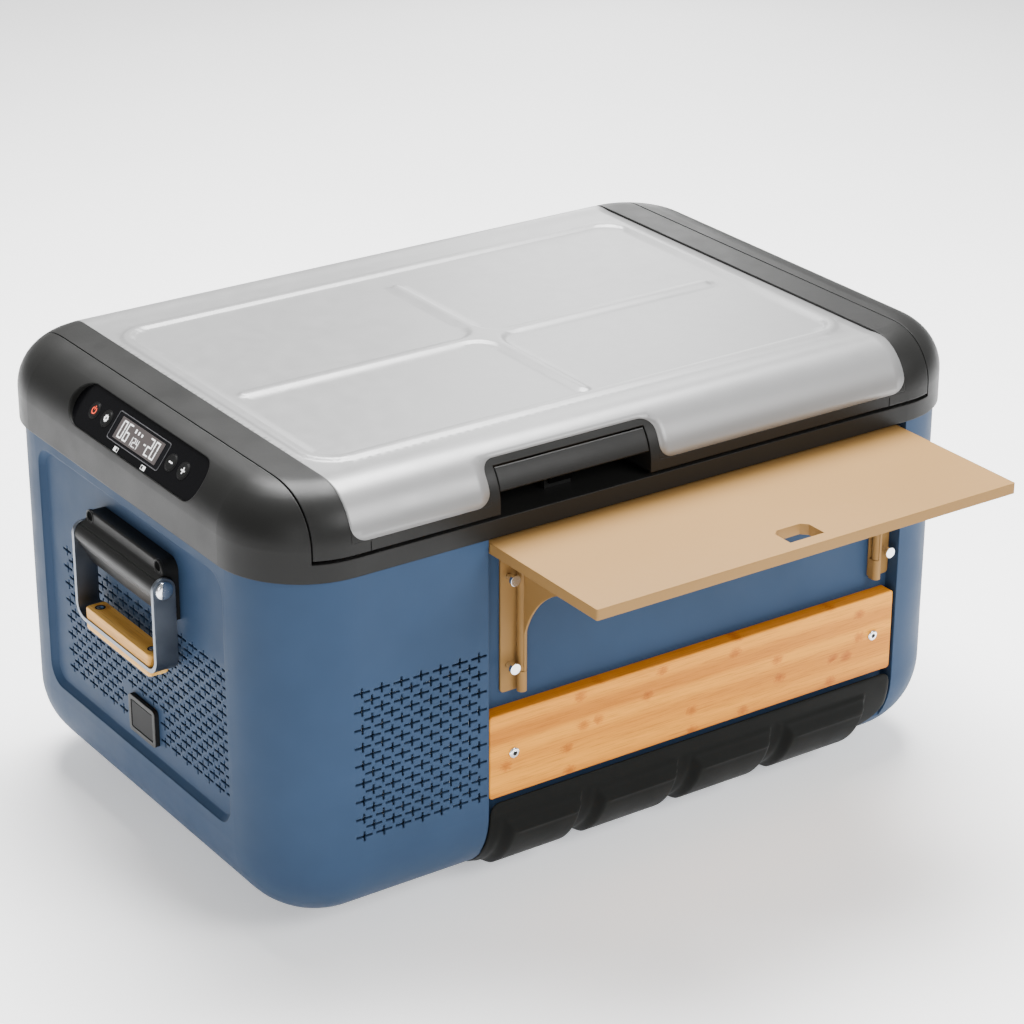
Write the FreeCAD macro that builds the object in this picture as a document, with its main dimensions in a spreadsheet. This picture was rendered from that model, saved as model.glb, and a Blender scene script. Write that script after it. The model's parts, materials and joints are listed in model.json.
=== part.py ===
"""Compressor cooler fridge for a caravan: insulated chest, compressor bay, hinged lid, side table.

Frame: millimetres, +Z up, origin on the floor under the middle of the cabinet.  The table side is -Y and the
compressor bay and its controls are at the -X end.
"""

import FreeCAD, Part
import Sketcher
import math
import os
import re
from FreeCAD import Placement, Rotation, Vector

doc = FreeCAD.newDocument("cooler_fridge")

# ---------------------------------------------------------------- driving dimensions

DIMENSIONS = {
    # cabinet
    "body_length": 672, "body_depth": 458.6, "foot_height": 12, "body_top": 320.3,
    "body_corner": 72.6, "body_round": 70, "wall": 3, "air": 0.4,
    "recess_left": -147.8, "recess_right": 266.6, "recess_deep": 14,
    "end_panel_half": 152, "end_panel_low": 92, "end_panel_high": 308, "end_panel_deep": 5,
    "end_panel_corner": 18,
    # vents: crosses of two slots in staggered rows
    "vent_long": 14.3, "vent_tall": 8.6, "vent_slot": 1.9,
    "vent_pitch": 17.6, "vent_rise": 15.4,
    "front_vent_x": -262.4, "front_vent_z": 99, "end_vent_y": -145.3, "end_vent_z": 116,
    # upper frame and lid
    "frame_length": 682, "frame_depth": 462, "frame_corner": 75, "frame_top": 388, "shoulder": 42,
    "deck_top": 335.5, "frame_wall": 3.5, "lid_left": -299.5, "lid_right": 291, "lid_bottom": 338.5,
    "lid_skin": 6, "lid_gap": 1.2, "panel_left": -269.4, "panel_right": 262, "panel_edge": 348, "panel_thick": 2.5,
    "cap_seam_left": -253, "cap_seam_right": 245.5,
    "hood_left": -147, "hood_right": 12, "hood_top": 379, "hood_wall": 3,
    "grab_left": -138, "grab_right": 3, "grab_top": 374.5, "grab_depth": 41,
    "hinge_y": 222.5, "hinge_z": 347, "hinge_pin": 2.5, "lug_half": 6, "lug_radius": 8.5, "lug_place": 210,
    # cold compartments
    "well_left": -122, "well_right": 268, "well_front": -178, "well_back": 186, "well_floor": 48,
    "liner_wall": 2, "well_corner": 24, "divider_left": 80, "divider_right": 92, "flange": 5.8,
    "tube_gap": 9.5, "tube_radius": 3.5,
    # compressor bay
    "bulkhead_x": -154, "sheet": 2, "bay_x": -222, "can_y": 92, "can_radius": 56, "can_low": 27,
    "can_high": 150, "mount_x": 35, "mount_y": 52, "fan_y": -190, "fan_x": -215, "fan_z": 152, "fan_size": 120, "fan_depth": 25,
    "fan_bore": 57, "tray_left": -264, "tray_front": -150, "tray_back": 156, "tray_thick": 3,
    "condenser_left": -262, "condenser_right": -158, "condenser_front": -222, "condenser_back": -198,
    "condenser_low": 70, "condenser_high": 240, "drier_x": -172, "drier_y": -120,
    "strike_left": -80, "strike_right": -55, "strike_y": 200, "strike_thick": 5, "strike_top": 344,
    "hub_radius": 17, "blade_radius": 54.5, "shaft_radius": 2,
    # controls
    "tilt": 37, "dial_sunk": 36.5, "bezel_length": 210, "bezel_height": 37, "bezel_thick": 5,
    "bezel_middle": -16, "button_radius": 6.2, "button_gap": 0.3, "screen_length": 82,
    "screen_height": 24, "screen_middle": -14,
    # power inlet
    "inlet_y": -8, "inlet_z": 123, "inlet_wide": 44, "inlet_tall": 33, "inlet_rim": 4, "inlet_proud": 4,
    # end handles
    "bail_x": 346, "bail_z": 270, "bail_middle": -11, "bail_width": 135.4, "bar_wide": 19.5,
    "bar_thick": 3.5, "bail_drop": 73, "bail_corner": 14, "pin_radius": 4, "barrel_radius": 9,
    "bracket_low": 240, "bracket_high": 291, "bracket_thick": 12,
    # front rail, bumper and screws
    "rail_low": 93, "rail_high": 166, "rail_left": -146.8, "rail_right": 264, "rail_screw_left": -124.1,
    "rail_screw_right": 242.5, "head_radius": 4.7, "screw_radius": 2.5,
    "bumper_low": 22, "bumper_high": 89, "bumper_proud": 2, "lobe_proud": 8, "lobe_pitch": 100,
    "lobe_wide": 88, "lobe_first": -139,
    # side table
    "table_left": -146.9, "table_right": 260.3, "table_front": -368, "table_back": -216.6,
    "table_low": 307.5, "table_high": 316.4, "table_axis_y": -221, "slot_left": 42, "slot_right": 75,
    "slot_front": -356, "slot_back": -333, "slot_chamfer": 5,
    "gate_left": -112, "gate_right": 249, "gate_y": -222, "gate_low": 178, "gate_high": 306,
    "gate_reach": 60, "knuckle": 18, "knuckle_radius": 4, "gate_pin": 2, "plate_wide": 21,
    "stud_low": 201.5, "stud_high": 277.4,
    # feet
    "foot_x": 230, "foot_y": 130, "foot_radius": 17, "foot_bolt": 2.75,
}

sheet = doc.addObject("Spreadsheet::Sheet", "dims")
for row, (alias, value) in enumerate(DIMENSIONS.items(), start=1):
    sheet.set(f"A{row}", alias)
    sheet.set(f"B{row}", str(value))
    sheet.setAlias(f"B{row}", alias)
doc.recompute()

WORD = re.compile(r"[a-z_]+")
ORIENTATIONS = {
    "x": Rotation(Vector(0, 1, 0), 90),
    "y": Rotation(Vector(1, 0, 0), -90),
    "z": Rotation(),
}
OTHERS = {"x": "yz", "y": "xz", "z": "xy"}
PLANES = {"x": "YZ_Plane", "y": "XZ_Plane", "z": "XY_Plane"}
NODES = {}


# ---------------------------------------------------------------- helpers bound to the sheet

def bound(text):
    """An expression in which every name of a driving dimension refers to its cell."""
    return WORD.sub(lambda m: "dims." + m.group() if m.group() in DIMENSIONS else m.group(), str(text))


def size(text):
    """The number that an expression gives."""
    return float(sheet.evalExpression(bound(text)))


def ordered(low, high):
    """The two ends of a span, lower first."""
    return (low, high) if size(low) <= size(high) else (high, low)


def box(name, x, y, z):
    """A block between two ends along each axis."""
    item = doc.addObject("Part::Box", name)
    for side, axis, ends in zip(("Length", "Width", "Height"), "xyz", (x, y, z)):
        low, high = ordered(*ends)
        item.setExpression(side, bound(f"({high}) - ({low})"))
        item.setExpression(f"Placement.Base.{axis}", bound(low))
    return item


def rod(name, along, radius, ends, at, kind="Part::Cylinder", top=None):
    """A cylinder, or with top a cone, along an axis between two ends."""
    low, high = ordered(*ends) if top is None else ends
    item = doc.addObject(kind, name)
    item.Placement = Placement(Vector(), ORIENTATIONS[along])
    if top is None:
        item.setExpression("Radius", bound(radius))
    else:
        item.setExpression("Radius1", bound(radius))
        item.setExpression("Radius2", bound(top))
    item.setExpression("Height", bound(f"({high}) - ({low})"))
    item.setExpression(f"Placement.Base.{along}", bound(low))
    for axis, value in zip(OTHERS[along], at):
        item.setExpression(f"Placement.Base.{axis}", bound(value))
    return item


def combine(kind, name, items):
    """A fusion, an intersection or a compound of several objects."""
    item = doc.addObject(kind, name)
    setattr(item, "Links" if kind == "Part::Compound" else "Shapes", list(items))
    return item


def fuse(name, *items):
    return combine("Part::MultiFuse", name, items)


def common(name, *items):
    return combine("Part::MultiCommon", name, items)


def group(name, *items):
    return combine("Part::Compound", name, items)


def cut(name, base, *tools):
    """The base less its tools, which are joined first where there are several."""
    item = doc.addObject("Part::Cut", name)
    item.Base = base
    item.Tool = tools[0] if len(tools) == 1 else fuse(name + "_tools", *tools)
    return item


def made_shape(name, shape):
    """A sub-part whose shape no single feature makes, worked out from the sheet."""
    item = doc.addObject("Part::Feature", name)
    item.Shape = shape
    return item


def keep(node, item):
    """Names a finished sub-part."""
    item.Label = node
    NODES[node] = item
    return item


def sketch_on(body, along, offset):
    """A sketch across an axis of a body's own frame, at a distance along that axis."""
    sketch = body.newObject("Sketcher::SketchObject", body.Name + "_sketch")
    plane = next(item for item in body.Origin.OriginFeatures if item.Role == PLANES[along])
    sketch.AttachmentSupport = [(plane, "")]
    sketch.MapMode = "FlatFace"
    sign = "-1 * " if along == "y" else ""
    sketch.setExpression("AttachmentOffset.Base.z", bound(f"{sign}({offset})"))
    return sketch


def set_distance(sketch, axis, geometry, point, text):
    """Fixes one coordinate of a sketch point to an expression."""
    value = size(text)
    if abs(value) < 1e-9:
        line = -2 if axis == "X" else -1
        sketch.addConstraint(Sketcher.Constraint("PointOnObject", geometry, point, line))
        return
    index = sketch.addConstraint(
        Sketcher.Constraint("Distance" + axis, -1, 1, geometry, point, value))
    sketch.setExpression(f"Constraints[{index}]", bound(text))


def rounded_outline(across, up, corner):
    """Draws a rectangle with equal round corners."""
    def draw(sketch):
        (left, right), (low, high), r = [[size(v) for v in ends] for ends in (across, up)] + [size(corner)]
        corners = [(right - r, low + r, -90), (right - r, high - r, 0),
                   (left + r, high - r, 90), (left + r, low + r, 180)]
        lines = [((left + r, low), (right - r, low)), ((right, low + r), (right, high - r)),
                 ((right - r, high), (left + r, high)), ((left, high - r), (left, low + r))]
        for (a, b), (u, v, start) in zip(lines, corners):
            sketch.addGeometry(Part.LineSegment(Vector(*a, 0), Vector(*b, 0)))
            circle = Part.Circle(Vector(u, v, 0), Vector(0, 0, 1), r)
            begin = math.radians(start)
            sketch.addGeometry(Part.ArcOfCircle(circle, begin, begin + math.pi / 2))
        for side in range(4):
            line, arc, following = 2 * side, 2 * side + 1, (2 * side + 2) % 8
            sketch.addConstraint(Sketcher.Constraint("Tangent", line, 2, arc, 1))
            sketch.addConstraint(Sketcher.Constraint("Tangent", arc, 2, following, 1))
            sketch.addConstraint(Sketcher.Constraint("Vertical" if side % 2 else "Horizontal", line))
            if side:
                sketch.addConstraint(Sketcher.Constraint("Equal", 1, arc))
        radius = sketch.addConstraint(Sketcher.Constraint("Radius", 1, r))
        sketch.setExpression(f"Constraints[{radius}]", bound(corner))
        set_distance(sketch, "Y", 0, 1, up[0])
        set_distance(sketch, "X", 2, 1, across[1])
        set_distance(sketch, "Y", 4, 1, up[1])
        set_distance(sketch, "X", 6, 1, across[0])
    return draw


def corner_outline(*points):
    """Draws a closed outline through corners; a third value is an arc's middle point on the way to the next."""
    def draw(sketch):
        count = len(points)
        for index, point in enumerate(points):
            here = Vector(size(point[0]), size(point[1]), 0)
            there = Vector(size(points[(index + 1) % count][0]), size(points[(index + 1) % count][1]), 0)
            if len(point) == 2:
                sketch.addGeometry(Part.LineSegment(here, there))
            else:
                middle = Vector(size(point[2][0]), size(point[2][1]), 0)
                ends = (here, there) if (middle - here).cross(there - middle).z > 0 else (there, here)
                sketch.addGeometry(Part.Arc(ends[0], middle, ends[1]))
        starts = []
        for index in range(count):
            curve = sketch.Geometry[index]
            here = Vector(size(points[index][0]), size(points[index][1]), 0)
            starts.append(1 if curve.StartPoint.distanceToPoint(here) < 1e-6 else 2)
        for index, point in enumerate(points):
            following = (index + 1) % count
            sketch.addConstraint(Sketcher.Constraint(
                "Coincident", index, 3 - starts[index], following, starts[following]))
            if len(point) == 3:
                sketch.addConstraint(Sketcher.Constraint("Radius", index, sketch.Geometry[index].Radius))
        for index, point in enumerate(points):
            set_distance(sketch, "X", index, starts[index], point[0])
            set_distance(sketch, "Y", index, starts[index], point[1])
    return draw


def circles_outline(radius, *centres):
    """Draws equal circles."""
    def draw(sketch):
        for index, (across, up) in enumerate(centres):
            centre = Vector(size(across), size(up), 0)
            sketch.addGeometry(Part.Circle(centre, Vector(0, 0, 1), size(radius)))
            fixed = sketch.addConstraint(Sketcher.Constraint("Radius", index, size(radius)))
            sketch.setExpression(f"Constraints[{fixed}]", bound(radius))
            set_distance(sketch, "X", index, 3, across)
            set_distance(sketch, "Y", index, 3, up)
    return draw


def prism(name, along, ends, outline):
    """A PartDesign body padded from an outline across an axis."""
    body = doc.addObject("PartDesign::Body", name)
    low, high = ordered(*ends)
    sketch = sketch_on(body, along, high if along == "y" else low)
    outline(sketch)
    pad = body.newObject("PartDesign::Pad", name + "_pad")
    pad.Profile = sketch
    pad.setExpression("Length", bound(f"({high}) - ({low})"))
    doc.recompute()
    return body


def pocket(body, along, ends, outline):
    """Cuts an outline out of a body between two ends along an axis."""
    low, high = ordered(*ends)
    before = body.Shape.Volume
    sketch = sketch_on(body, along, low if along == "y" else high)
    outline(sketch)
    feature = body.newObject("PartDesign::Pocket", body.Name + "_pocket")
    feature.Profile = sketch
    feature.setExpression("Length", bound(f"({high}) - ({low})"))
    doc.recompute()
    if body.Shape.Volume >= before - 1e-6:
        raise RuntimeError(f"{body.Name}: a pocket cut nothing")
    return body


def dressed(body, kind, amount, chosen):
    """Fillets or chamfers the edges that a test picks from a body."""
    names = [f"Edge{n}" for n, edge in enumerate(body.Shape.Edges, start=1) if chosen(edge)]
    feature = body.newObject("PartDesign::" + kind, f"{body.Name}_{kind.lower()}")
    feature.Base = (body.Group[-2] if body.Tip == feature else body.Tip, names)
    feature.setExpression("Radius" if kind == "Fillet" else "Size", bound(amount))
    doc.recompute()
    return body


def level(axis, text):
    """A test for the edges that lie wholly at one height along an axis."""
    value = size(text)

    def chosen(edge):
        limits = edge.BoundBox
        ends = (getattr(limits, axis + "Min"), getattr(limits, axis + "Max"))
        return all(abs(end - value) < 1e-4 for end in ends)
    return chosen


def rounded_block(name, x, y, z, corner, top=None, bottom=None):
    """A block with round vertical corners and, where asked, a round top or bottom edge."""
    body = prism(name, "z", z, rounded_outline(ordered(*x), ordered(*y), corner))
    if top is not None:
        dressed(body, "Fillet", top, level("Z", z[1]))
    if bottom is not None:
        dressed(body, "Fillet", bottom, level("Z", z[0]))
    return body


def centred(width, middle="0"):
    """The two ends of a width about a middle."""
    return f"({middle}) - ({width}) / 2", f"({middle}) + ({width}) / 2"


def tube_along(points, radius, bend):
    """A round tube on straight runs joined by tangent arcs."""
    points = [Vector(*point) for point in points]
    edges = []
    begin = points[0]
    for before, here, after in zip(points, points[1:], points[2:]):
        a, b = (before - here).normalize(), (after - here).normalize()
        half = a.getAngle(b) / 2
        reach = bend / math.tan(half)
        entry, leave = here + a * reach, here + b * reach
        middle = here + (a + b).normalize() * (bend / math.sin(half) - bend)
        edges += [Part.LineSegment(begin, entry).toShape(), Part.Arc(entry, middle, leave).toShape()]
        begin = leave
    edges.append(Part.LineSegment(begin, points[-1]).toShape())
    path = Part.Wire(edges)
    ring = Part.Wire(Part.makeCircle(radius, points[0], points[1] - points[0]))
    return path.makePipeShell([ring], True, False)


# ---------------------------------------------------------------- cabinet shell

def cabinet_block(name, inset, top):
    """The cabinet's outside, or the same form moved inwards by an inset."""
    return rounded_block(
        name, centred(f"body_length - 2 * ({inset})"), centred(f"body_depth - 2 * ({inset})"),
        (f"foot_height + ({inset})", top), f"body_corner - ({inset})", bottom=f"body_round - ({inset})")


FRONT = "(0 - body_depth / 2)"
RECESS_WALL = f"({FRONT} + recess_deep)"


def recess_block(name, grown):
    """The front recess, or the block that keeps a wall's thickness behind it."""
    return box(name, (f"recess_left - ({grown})", f"recess_right + ({grown})"),
               (f"{FRONT} - 20", f"{RECESS_WALL} + ({grown})"), ("0", "body_top + 20"))


def end_panel(name, side):
    """The shallow bevelled panel sunk in one end of the cabinet."""
    face = f"{side} * body_length / 2"
    floor = f"{side} * (body_length / 2 - end_panel_deep)"
    body = prism(name, "x", (face, floor), rounded_outline(
        ("0 - end_panel_half", "end_panel_half"), ("end_panel_low", "end_panel_high"), "end_panel_corner"))
    return dressed(body, "Chamfer", "end_panel_deep * 0.9", level("X", floor))


def cross(across, up, along, start, length):
    """One vent: an upright and a level slot that cross, as a solid across a wall."""
    half_long, half_tall, half_slot = size("vent_long / 2"), size("vent_tall / 2"), size("vent_slot / 2")
    arm = [(half_slot, half_tall), (half_slot, half_slot), (half_long, half_slot)]
    quarter = arm + [(u, -v) for u, v in reversed(arm)]
    outline = quarter + [(-u, -v) for u, v in quarter]
    places = {"x": lambda u, v: Vector(start, across + u, up + v), "y": lambda u, v: Vector(across + u, start, up + v)}
    corners = [places[along](u, v) for u, v in outline]
    face = Part.Face(Part.makePolygon(corners + corners[:1]))
    return face.extrude(Vector(length, 0, 0) if along == "x" else Vector(0, length, 0))


def vent_field(along, columns, rows, first, start, length, blank=None):
    """Two staggered grids of vents, without those that touch a blank patch."""
    pitch, rise = size("vent_pitch"), size("vent_rise")
    vents = []
    for shift in (0, 1):
        for column in range(columns - shift):
            for row in range(rows - shift):
                across = first[0] + (column + shift / 2) * pitch
                up = first[1] + (row + shift / 2) * rise
                if blank and abs(across - blank[0]) < blank[2] and abs(up - blank[1]) < blank[3]:
                    continue
                vents.append(cross(across, up, along, start, length))
    return Part.makeCompound(vents)


def foot_bolts():
    """The four bolt positions."""
    return [(f"{x} * foot_x", f"{y} * foot_y") for x in (-1, 1) for y in (-1, 1)]


def outer_shell():
    outside = cut("shell_outside", cabinet_block("shell_outer", "0", "body_top"),
                  recess_block("shell_recess", "0"), end_panel("panel_left_end", -1), end_panel("panel_right_end", 1))
    backs = [box(f"panel_back_{n}", (f"{side} * body_length / 2", f"{side} * (body_length / 2 - end_panel_deep - wall)"),
                 centred("2 * end_panel_half + 8"), ("end_panel_low - 4", "end_panel_high + 4"))
             for n, side in enumerate((-1, 1))]
    hollow = cut("shell_hollow", cabinet_block("shell_inner", "wall", "body_top + 1"),
                 recess_block("shell_recess_back", "wall"), *backs)
    plain = cut("shell_plain", outside, hollow)
    blank = (size("inlet_y"), size("inlet_z"), size("inlet_wide / 2 + 9"), size("inlet_tall / 2 + 6"))
    vents = made_shape("shell_vents", Part.makeCompound([
        vent_field("y", 7, 9, (size("front_vent_x"), size("front_vent_z")), size(FRONT) - 5, 20),
        vent_field("x", 16, 8, (size("end_vent_y"), size("end_vent_z")), -size("body_length / 2") - 5, 20, blank)]))
    vented = cut("shell_vented", plain, vents)
    bolts = [rod(f"shell_bolt_{n}", "z", "foot_bolt", ("0", "30"), at) for n, at in enumerate(foot_bolts())]
    inlet = box("shell_inlet", ("0 - body_length / 2 - 5", "0 - body_length / 2 + 20"),
                centred("inlet_wide - 2 * inlet_rim - 1", "inlet_y"), centred("inlet_tall - 2 * inlet_rim - 1", "inlet_z"))
    screws = [rod(f"shell_screw_{n}", "y", "screw_radius", (f"{FRONT} - 5", f"{RECESS_WALL} + 10"), at)
              for n, at in enumerate(rail_screws())]
    keep("outer_shell", cut("shell", vented, *bolts, inlet, *screws))


# ---------------------------------------------------------------- upper frame

def envelope(name, inset, low="body_top"):
    """The form that the upper frame and the lid share, or the same moved inwards."""
    return rounded_block(
        name, centred(f"frame_length - 2 * ({inset})"), centred(f"frame_depth - 2 * ({inset})"),
        (low, f"frame_top - ({inset})"), f"frame_corner - ({inset})", top=f"shoulder - ({inset})")


def everywhere(name, x, z):
    """A block right across the depth."""
    return box(name, x, ("0 - frame_depth", "frame_depth"), z)


def bezel_block(name, grown, depth):
    """A capsule in the frame of the control panel: x up its slope, z outwards from its face."""
    body = rounded_block(name, centred(f"bezel_height + 2 * ({grown})"), centred(f"bezel_length + 2 * ({grown})"),
                         depth, f"(bezel_height + 2 * ({grown})) / 2 - 0.05")
    return on_panel(body)


def on_panel(item):
    """Moves an object from the control panel's frame to the left shoulder."""
    tilt = math.radians(size("tilt"))
    middle = Vector(size("lid_left") + 0.5 - size("dial_sunk") * math.cos(tilt), size("bezel_middle"),
                    size("frame_top - shoulder") + size("dial_sunk") * math.sin(tilt))
    turn = Rotation(Vector(0, 1, 0), size("tilt") - 90)
    item.Placement = Placement(middle, turn).multiply(item.Placement)
    return item


def hinge_lugs():
    return [lug for n, side in enumerate((-1, 1)) for lug in (
        rod(f"lug_round_{n}", "x", "lug_radius", centred("2 * lug_half", f"{side} * lug_place"), ("hinge_y", "hinge_z")),
        box(f"lug_block_{n}", centred("2 * lug_half", f"{side} * lug_place"),
            ("hinge_y - lug_radius", "hinge_y + lug_radius"), ("deck_top - 1", "hinge_z")))]


def strike(name, side):
    """The catch post that a latch tongue rests in front of."""
    return box(name, ("strike_left", "strike_right"), (f"{side} * strike_y", f"{side} * (strike_y + strike_thick)"),
               ("deck_top", "strike_top"))


def upper_frame():
    body = cut("frame_body", envelope("frame_outer", "0"),
               everywhere("frame_lid_zone", ("lid_left", "lid_right"), ("deck_top", "frame_top + 9")))
    hollow = cut("frame_hollow", envelope("frame_inner", "frame_wall", "body_top - 4"),
                 everywhere("frame_deck", ("lid_left - frame_wall", "lid_right + frame_wall"),
                            ("deck_top - frame_wall", "frame_top")))
    shell = cut("frame_shell", body, hollow)
    posts = fuse("frame_posts", shell, *hinge_lugs())
    well = rounded_block("frame_well", ("well_left - flange - 0.2", "well_right + flange + 0.2"),
                         ("well_front - flange - 0.2", "well_back + flange + 0.2"), ("310", "deck_top + 5"),
                         "well_corner + flange")
    pins = [rod(f"lug_bore_{n}", "x", "hinge_pin", centred("4 * lug_half", f"{side} * lug_place"), ("hinge_y", "hinge_z"))
            for n, side in enumerate((-1, 1))]
    keep("upper_frame", cut("frame", posts, well, bezel_block("frame_dial", "0.2", ("-12", "25")), *pins))
    keep("latch_strikes", group("strikes", strike("strike_front", -1), strike("strike_back", 1)))
    keep("lid_hinge_pins", group("lid_pins", *[
        rod(f"lid_pin_{n}", "x", "hinge_pin", centred("5 * lug_half", f"{side} * lug_place"), ("hinge_y", "hinge_z"))
        for n, side in enumerate((-1, 1))]))


# ---------------------------------------------------------------- cold compartments

def cold_box():
    tub = rounded_block("tub", ("well_left", "well_right"), ("well_front", "well_back"),
                        ("well_floor", "deck_top - 1"), "well_corner")
    rim = rounded_block("tub_rim", ("well_left - flange", "well_right + flange"),
                        ("well_front - flange", "well_back + flange"), ("deck_top - liner_wall", "deck_top"),
                        "well_corner + flange")
    rooms = [rounded_block(f"room_{n}", x, ("well_front + liner_wall", "well_back - liner_wall"),
                           ("well_floor + liner_wall", "deck_top + 5"), "well_corner - liner_wall", bottom="10")
             for n, x in enumerate((("well_left + liner_wall", "divider_left"),
                                    ("divider_right", "well_right - liner_wall")))]
    keep("inner_liner", cut("liner", fuse("liner_solid", tub, rim), *rooms))

    foam_low = cabinet_block("foam_outer", "wall + air", "deck_top - frame_wall - air")
    under_deck = box("foam_reach", ("-146", "body_length / 2 - end_panel_deep - wall - air"),
                     centred("body_depth - 2 * wall - 2 * air"), ("0", "deck_top - frame_wall - air"))
    cavity = rounded_block("foam_cavity", ("well_left - tube_gap", "well_right + tube_gap"),
                           ("well_front - tube_gap", "well_back + tube_gap"), ("well_floor", "deck_top"),
                           "well_corner + tube_gap")
    keep("insulation_foam", cut("foam", common("foam_solid", foam_low, under_deck),
                                recess_block("foam_recess", "wall + air"), cavity))

    offset = size("tube_gap / 2")
    x0, x1 = size("well_left") - offset, size("well_right") + offset
    y0, y1 = size("well_front") - offset, size("well_back") + offset
    radius = size("tube_radius")
    bend = size("well_corner") + offset
    first, rise, turns = 90, 40, 5
    middle = (x0 + x1) / 2
    route = []
    for turn in range(turns):
        z = first + turn * rise
        route += [(middle + rise / 2, y1, z), (x1, y1, z), (x1, y0, z), (x0, y0, z), (x0, y1, z), (middle - rise / 2, y1, z)]
    keep("evaporator_coil", made_shape("evaporator", tube_along(route, radius, bend)))


# ---------------------------------------------------------------- compressor bay

def compressor_bay():
    keep("bulkhead", common("bulkhead_sheet", cabinet_block("bulkhead_outer", "wall + air", "body_top"),
                            box("bulkhead_slab", ("bulkhead_x", "bulkhead_x + sheet"),
                                centred("body_depth"), ("0", "body_top"))))
    keep("base_tray", box("tray", ("tray_left", "bulkhead_x - 2"), ("tray_front", "tray_back"),
                          ("foot_height + wall", "foot_height + wall + tray_thick")))

    can = doc.addObject("PartDesign::Body", "can")
    sketch = sketch_on(can, "y", "0")
    corner_outline(("0", "can_low"), ("can_radius - 10", "can_low"), ("can_radius", "can_low + 10"),
                   ("can_radius", "can_high - 34"), ("can_radius * 0.75", "can_high - 9"), ("0", "can_high"))(sketch)
    turned = can.newObject("PartDesign::Revolution", "can_turned")
    turned.Profile = sketch
    turned.ReferenceAxis = (sketch, ["V_Axis"])
    turned.Angle = 360
    doc.recompute()
    can.setExpression("Placement.Base.x", bound("bay_x"))
    can.setExpression("Placement.Base.y", bound("can_y"))
    plate = box("can_feet", centred("2 * mount_x + 20", "bay_x"), centred("2 * mount_y + 18", "can_y"),
                ("can_low - 1", "can_low + 2"))
    places = [(f"bay_x + {x} * mount_x", f"can_y + {y} * mount_y") for x in (-1, 1) for y in (-1, 1)]
    holes = [rod(f"can_hole_{n}", "z", "3.2", ("can_low - 9", "can_low + 9"), at) for n, at in enumerate(places)]
    keep("compressor", cut("compressor_solid", fuse("can_whole", can, plate), *holes))
    mounts = []
    for n, at in enumerate(places):
        mounts.append(rod(f"grommet_{n}", "z", "7", ("foot_height + wall + tray_thick", "can_low - 1"), at))
        mounts.append(rod(f"mount_bolt_{n}", "z", "3", ("can_low - 1", "can_low + 5"), at))
        mounts.append(rod(f"mount_nut_{n}", "z", "5.5", ("can_low + 2", "can_low + 6"), at))
    bolts = [fuse(f"mount_{n}", *mounts[3 * n:3 * n + 3]) for n in range(4)]
    keep("compressor_mounts", group("mounts", *bolts))

    fins = [box(f"fin_{n}", centred("0.8", f"condenser_left + 4 + {n} * 6"), ("condenser_front", "condenser_back"),
                ("condenser_low", "condenser_high")) for n in range(17)]
    tubes = [rod(f"condenser_tube_{n}", "x", "tube_radius", ("condenser_left", "condenser_right"),
                 ("(condenser_front + condenser_back) / 2", f"condenser_low + 14 + {n} * 20")) for n in range(8)]
    keep("condenser_coil", fuse("condenser", *fins, *tubes))

    half = "fan_size / 2"
    fan_frame = box("fan_square", centred("fan_size", "fan_x"), ("fan_y", "fan_y + fan_depth"), centred("fan_size", "fan_z"))
    bore = rod("fan_bore_cut", "y", "fan_bore", ("fan_y - 1", "fan_y + fan_depth + 1"), ("fan_x", "fan_z"))
    boss = rod("fan_boss", "y", "hub_radius - 1", ("fan_y + fan_depth - 5", "fan_y + fan_depth"), ("fan_x", "fan_z"))
    struts = [box("fan_strut_level", centred("fan_size - 2", "fan_x"), ("fan_y + fan_depth - 4", "fan_y + fan_depth"),
                  centred("5", "fan_z")),
              box("fan_strut_upright", centred("5", "fan_x"), ("fan_y + fan_depth - 4", "fan_y + fan_depth"),
                  (f"fan_z - {half} + 1", f"fan_z + {half} - 1"))]
    seat = rod("fan_seat", "y", "shaft_radius + 0.06", ("fan_y", "fan_y + fan_depth + 1"), ("fan_x", "fan_z"))
    keep("fan_shroud", cut("shroud", fuse("shroud_solid", cut("shroud_ring", fan_frame, bore), boss, *struts), seat))

    hub = rod("fan_hub", "y", "hub_radius", ("fan_y + 2", "fan_y + fan_depth - 7"), ("fan_x", "fan_z"))
    shaft = rod("fan_shaft", "y", "shaft_radius", ("fan_y + 4", "fan_y + fan_depth - 0.5"), ("fan_x", "fan_z"))
    blades = []
    count = 7
    for n in range(count):
        blade = doc.addObject("Part::Box", f"fan_blade_{n}")
        blade.setExpression("Length", bound("blade_radius - hub_radius + 2"))
        blade.Width = 2
        blade.Height = 14
        tilt = Placement(Vector(size("hub_radius") - 2, -1, -7), Rotation(Vector(1, 0, 0), 50), Vector(0, 1, 7))
        spin = Placement(Vector(size("fan_x"), size("fan_y + 9.5"), size("fan_z")),
                         Rotation(Vector(0, 1, 0), 360 * n / count))
        blade.Placement = spin.multiply(tilt)
        blades.append(blade)
    keep("fan_rotor", fuse("rotor", hub, shaft, *blades))

    drier = fuse("drier_whole",
                 rod("drier_tube", "z", "9", ("150", "210"), ("drier_x", "drier_y")),
                 rod("drier_low", "z", "3", ("138", "150"), ("drier_x", "drier_y"), "Part::Cone", "9"),
                 rod("drier_high", "z", "9", ("210", "222"), ("drier_x", "drier_y"), "Part::Cone", "3"))
    keep("filter_drier", drier)
    board = box("drive_plate", ("-166", "-164"), ("-40", "60"), ("180", "280"))
    blocks = [box(f"drive_block_{n}", ("-186", "-166"), (f"{y}", f"{y} + 24"), ("200", "262")) for n, y in enumerate((-34, 6, 34))]
    keep("drive_board", fuse("drive", board, *blocks))

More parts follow.
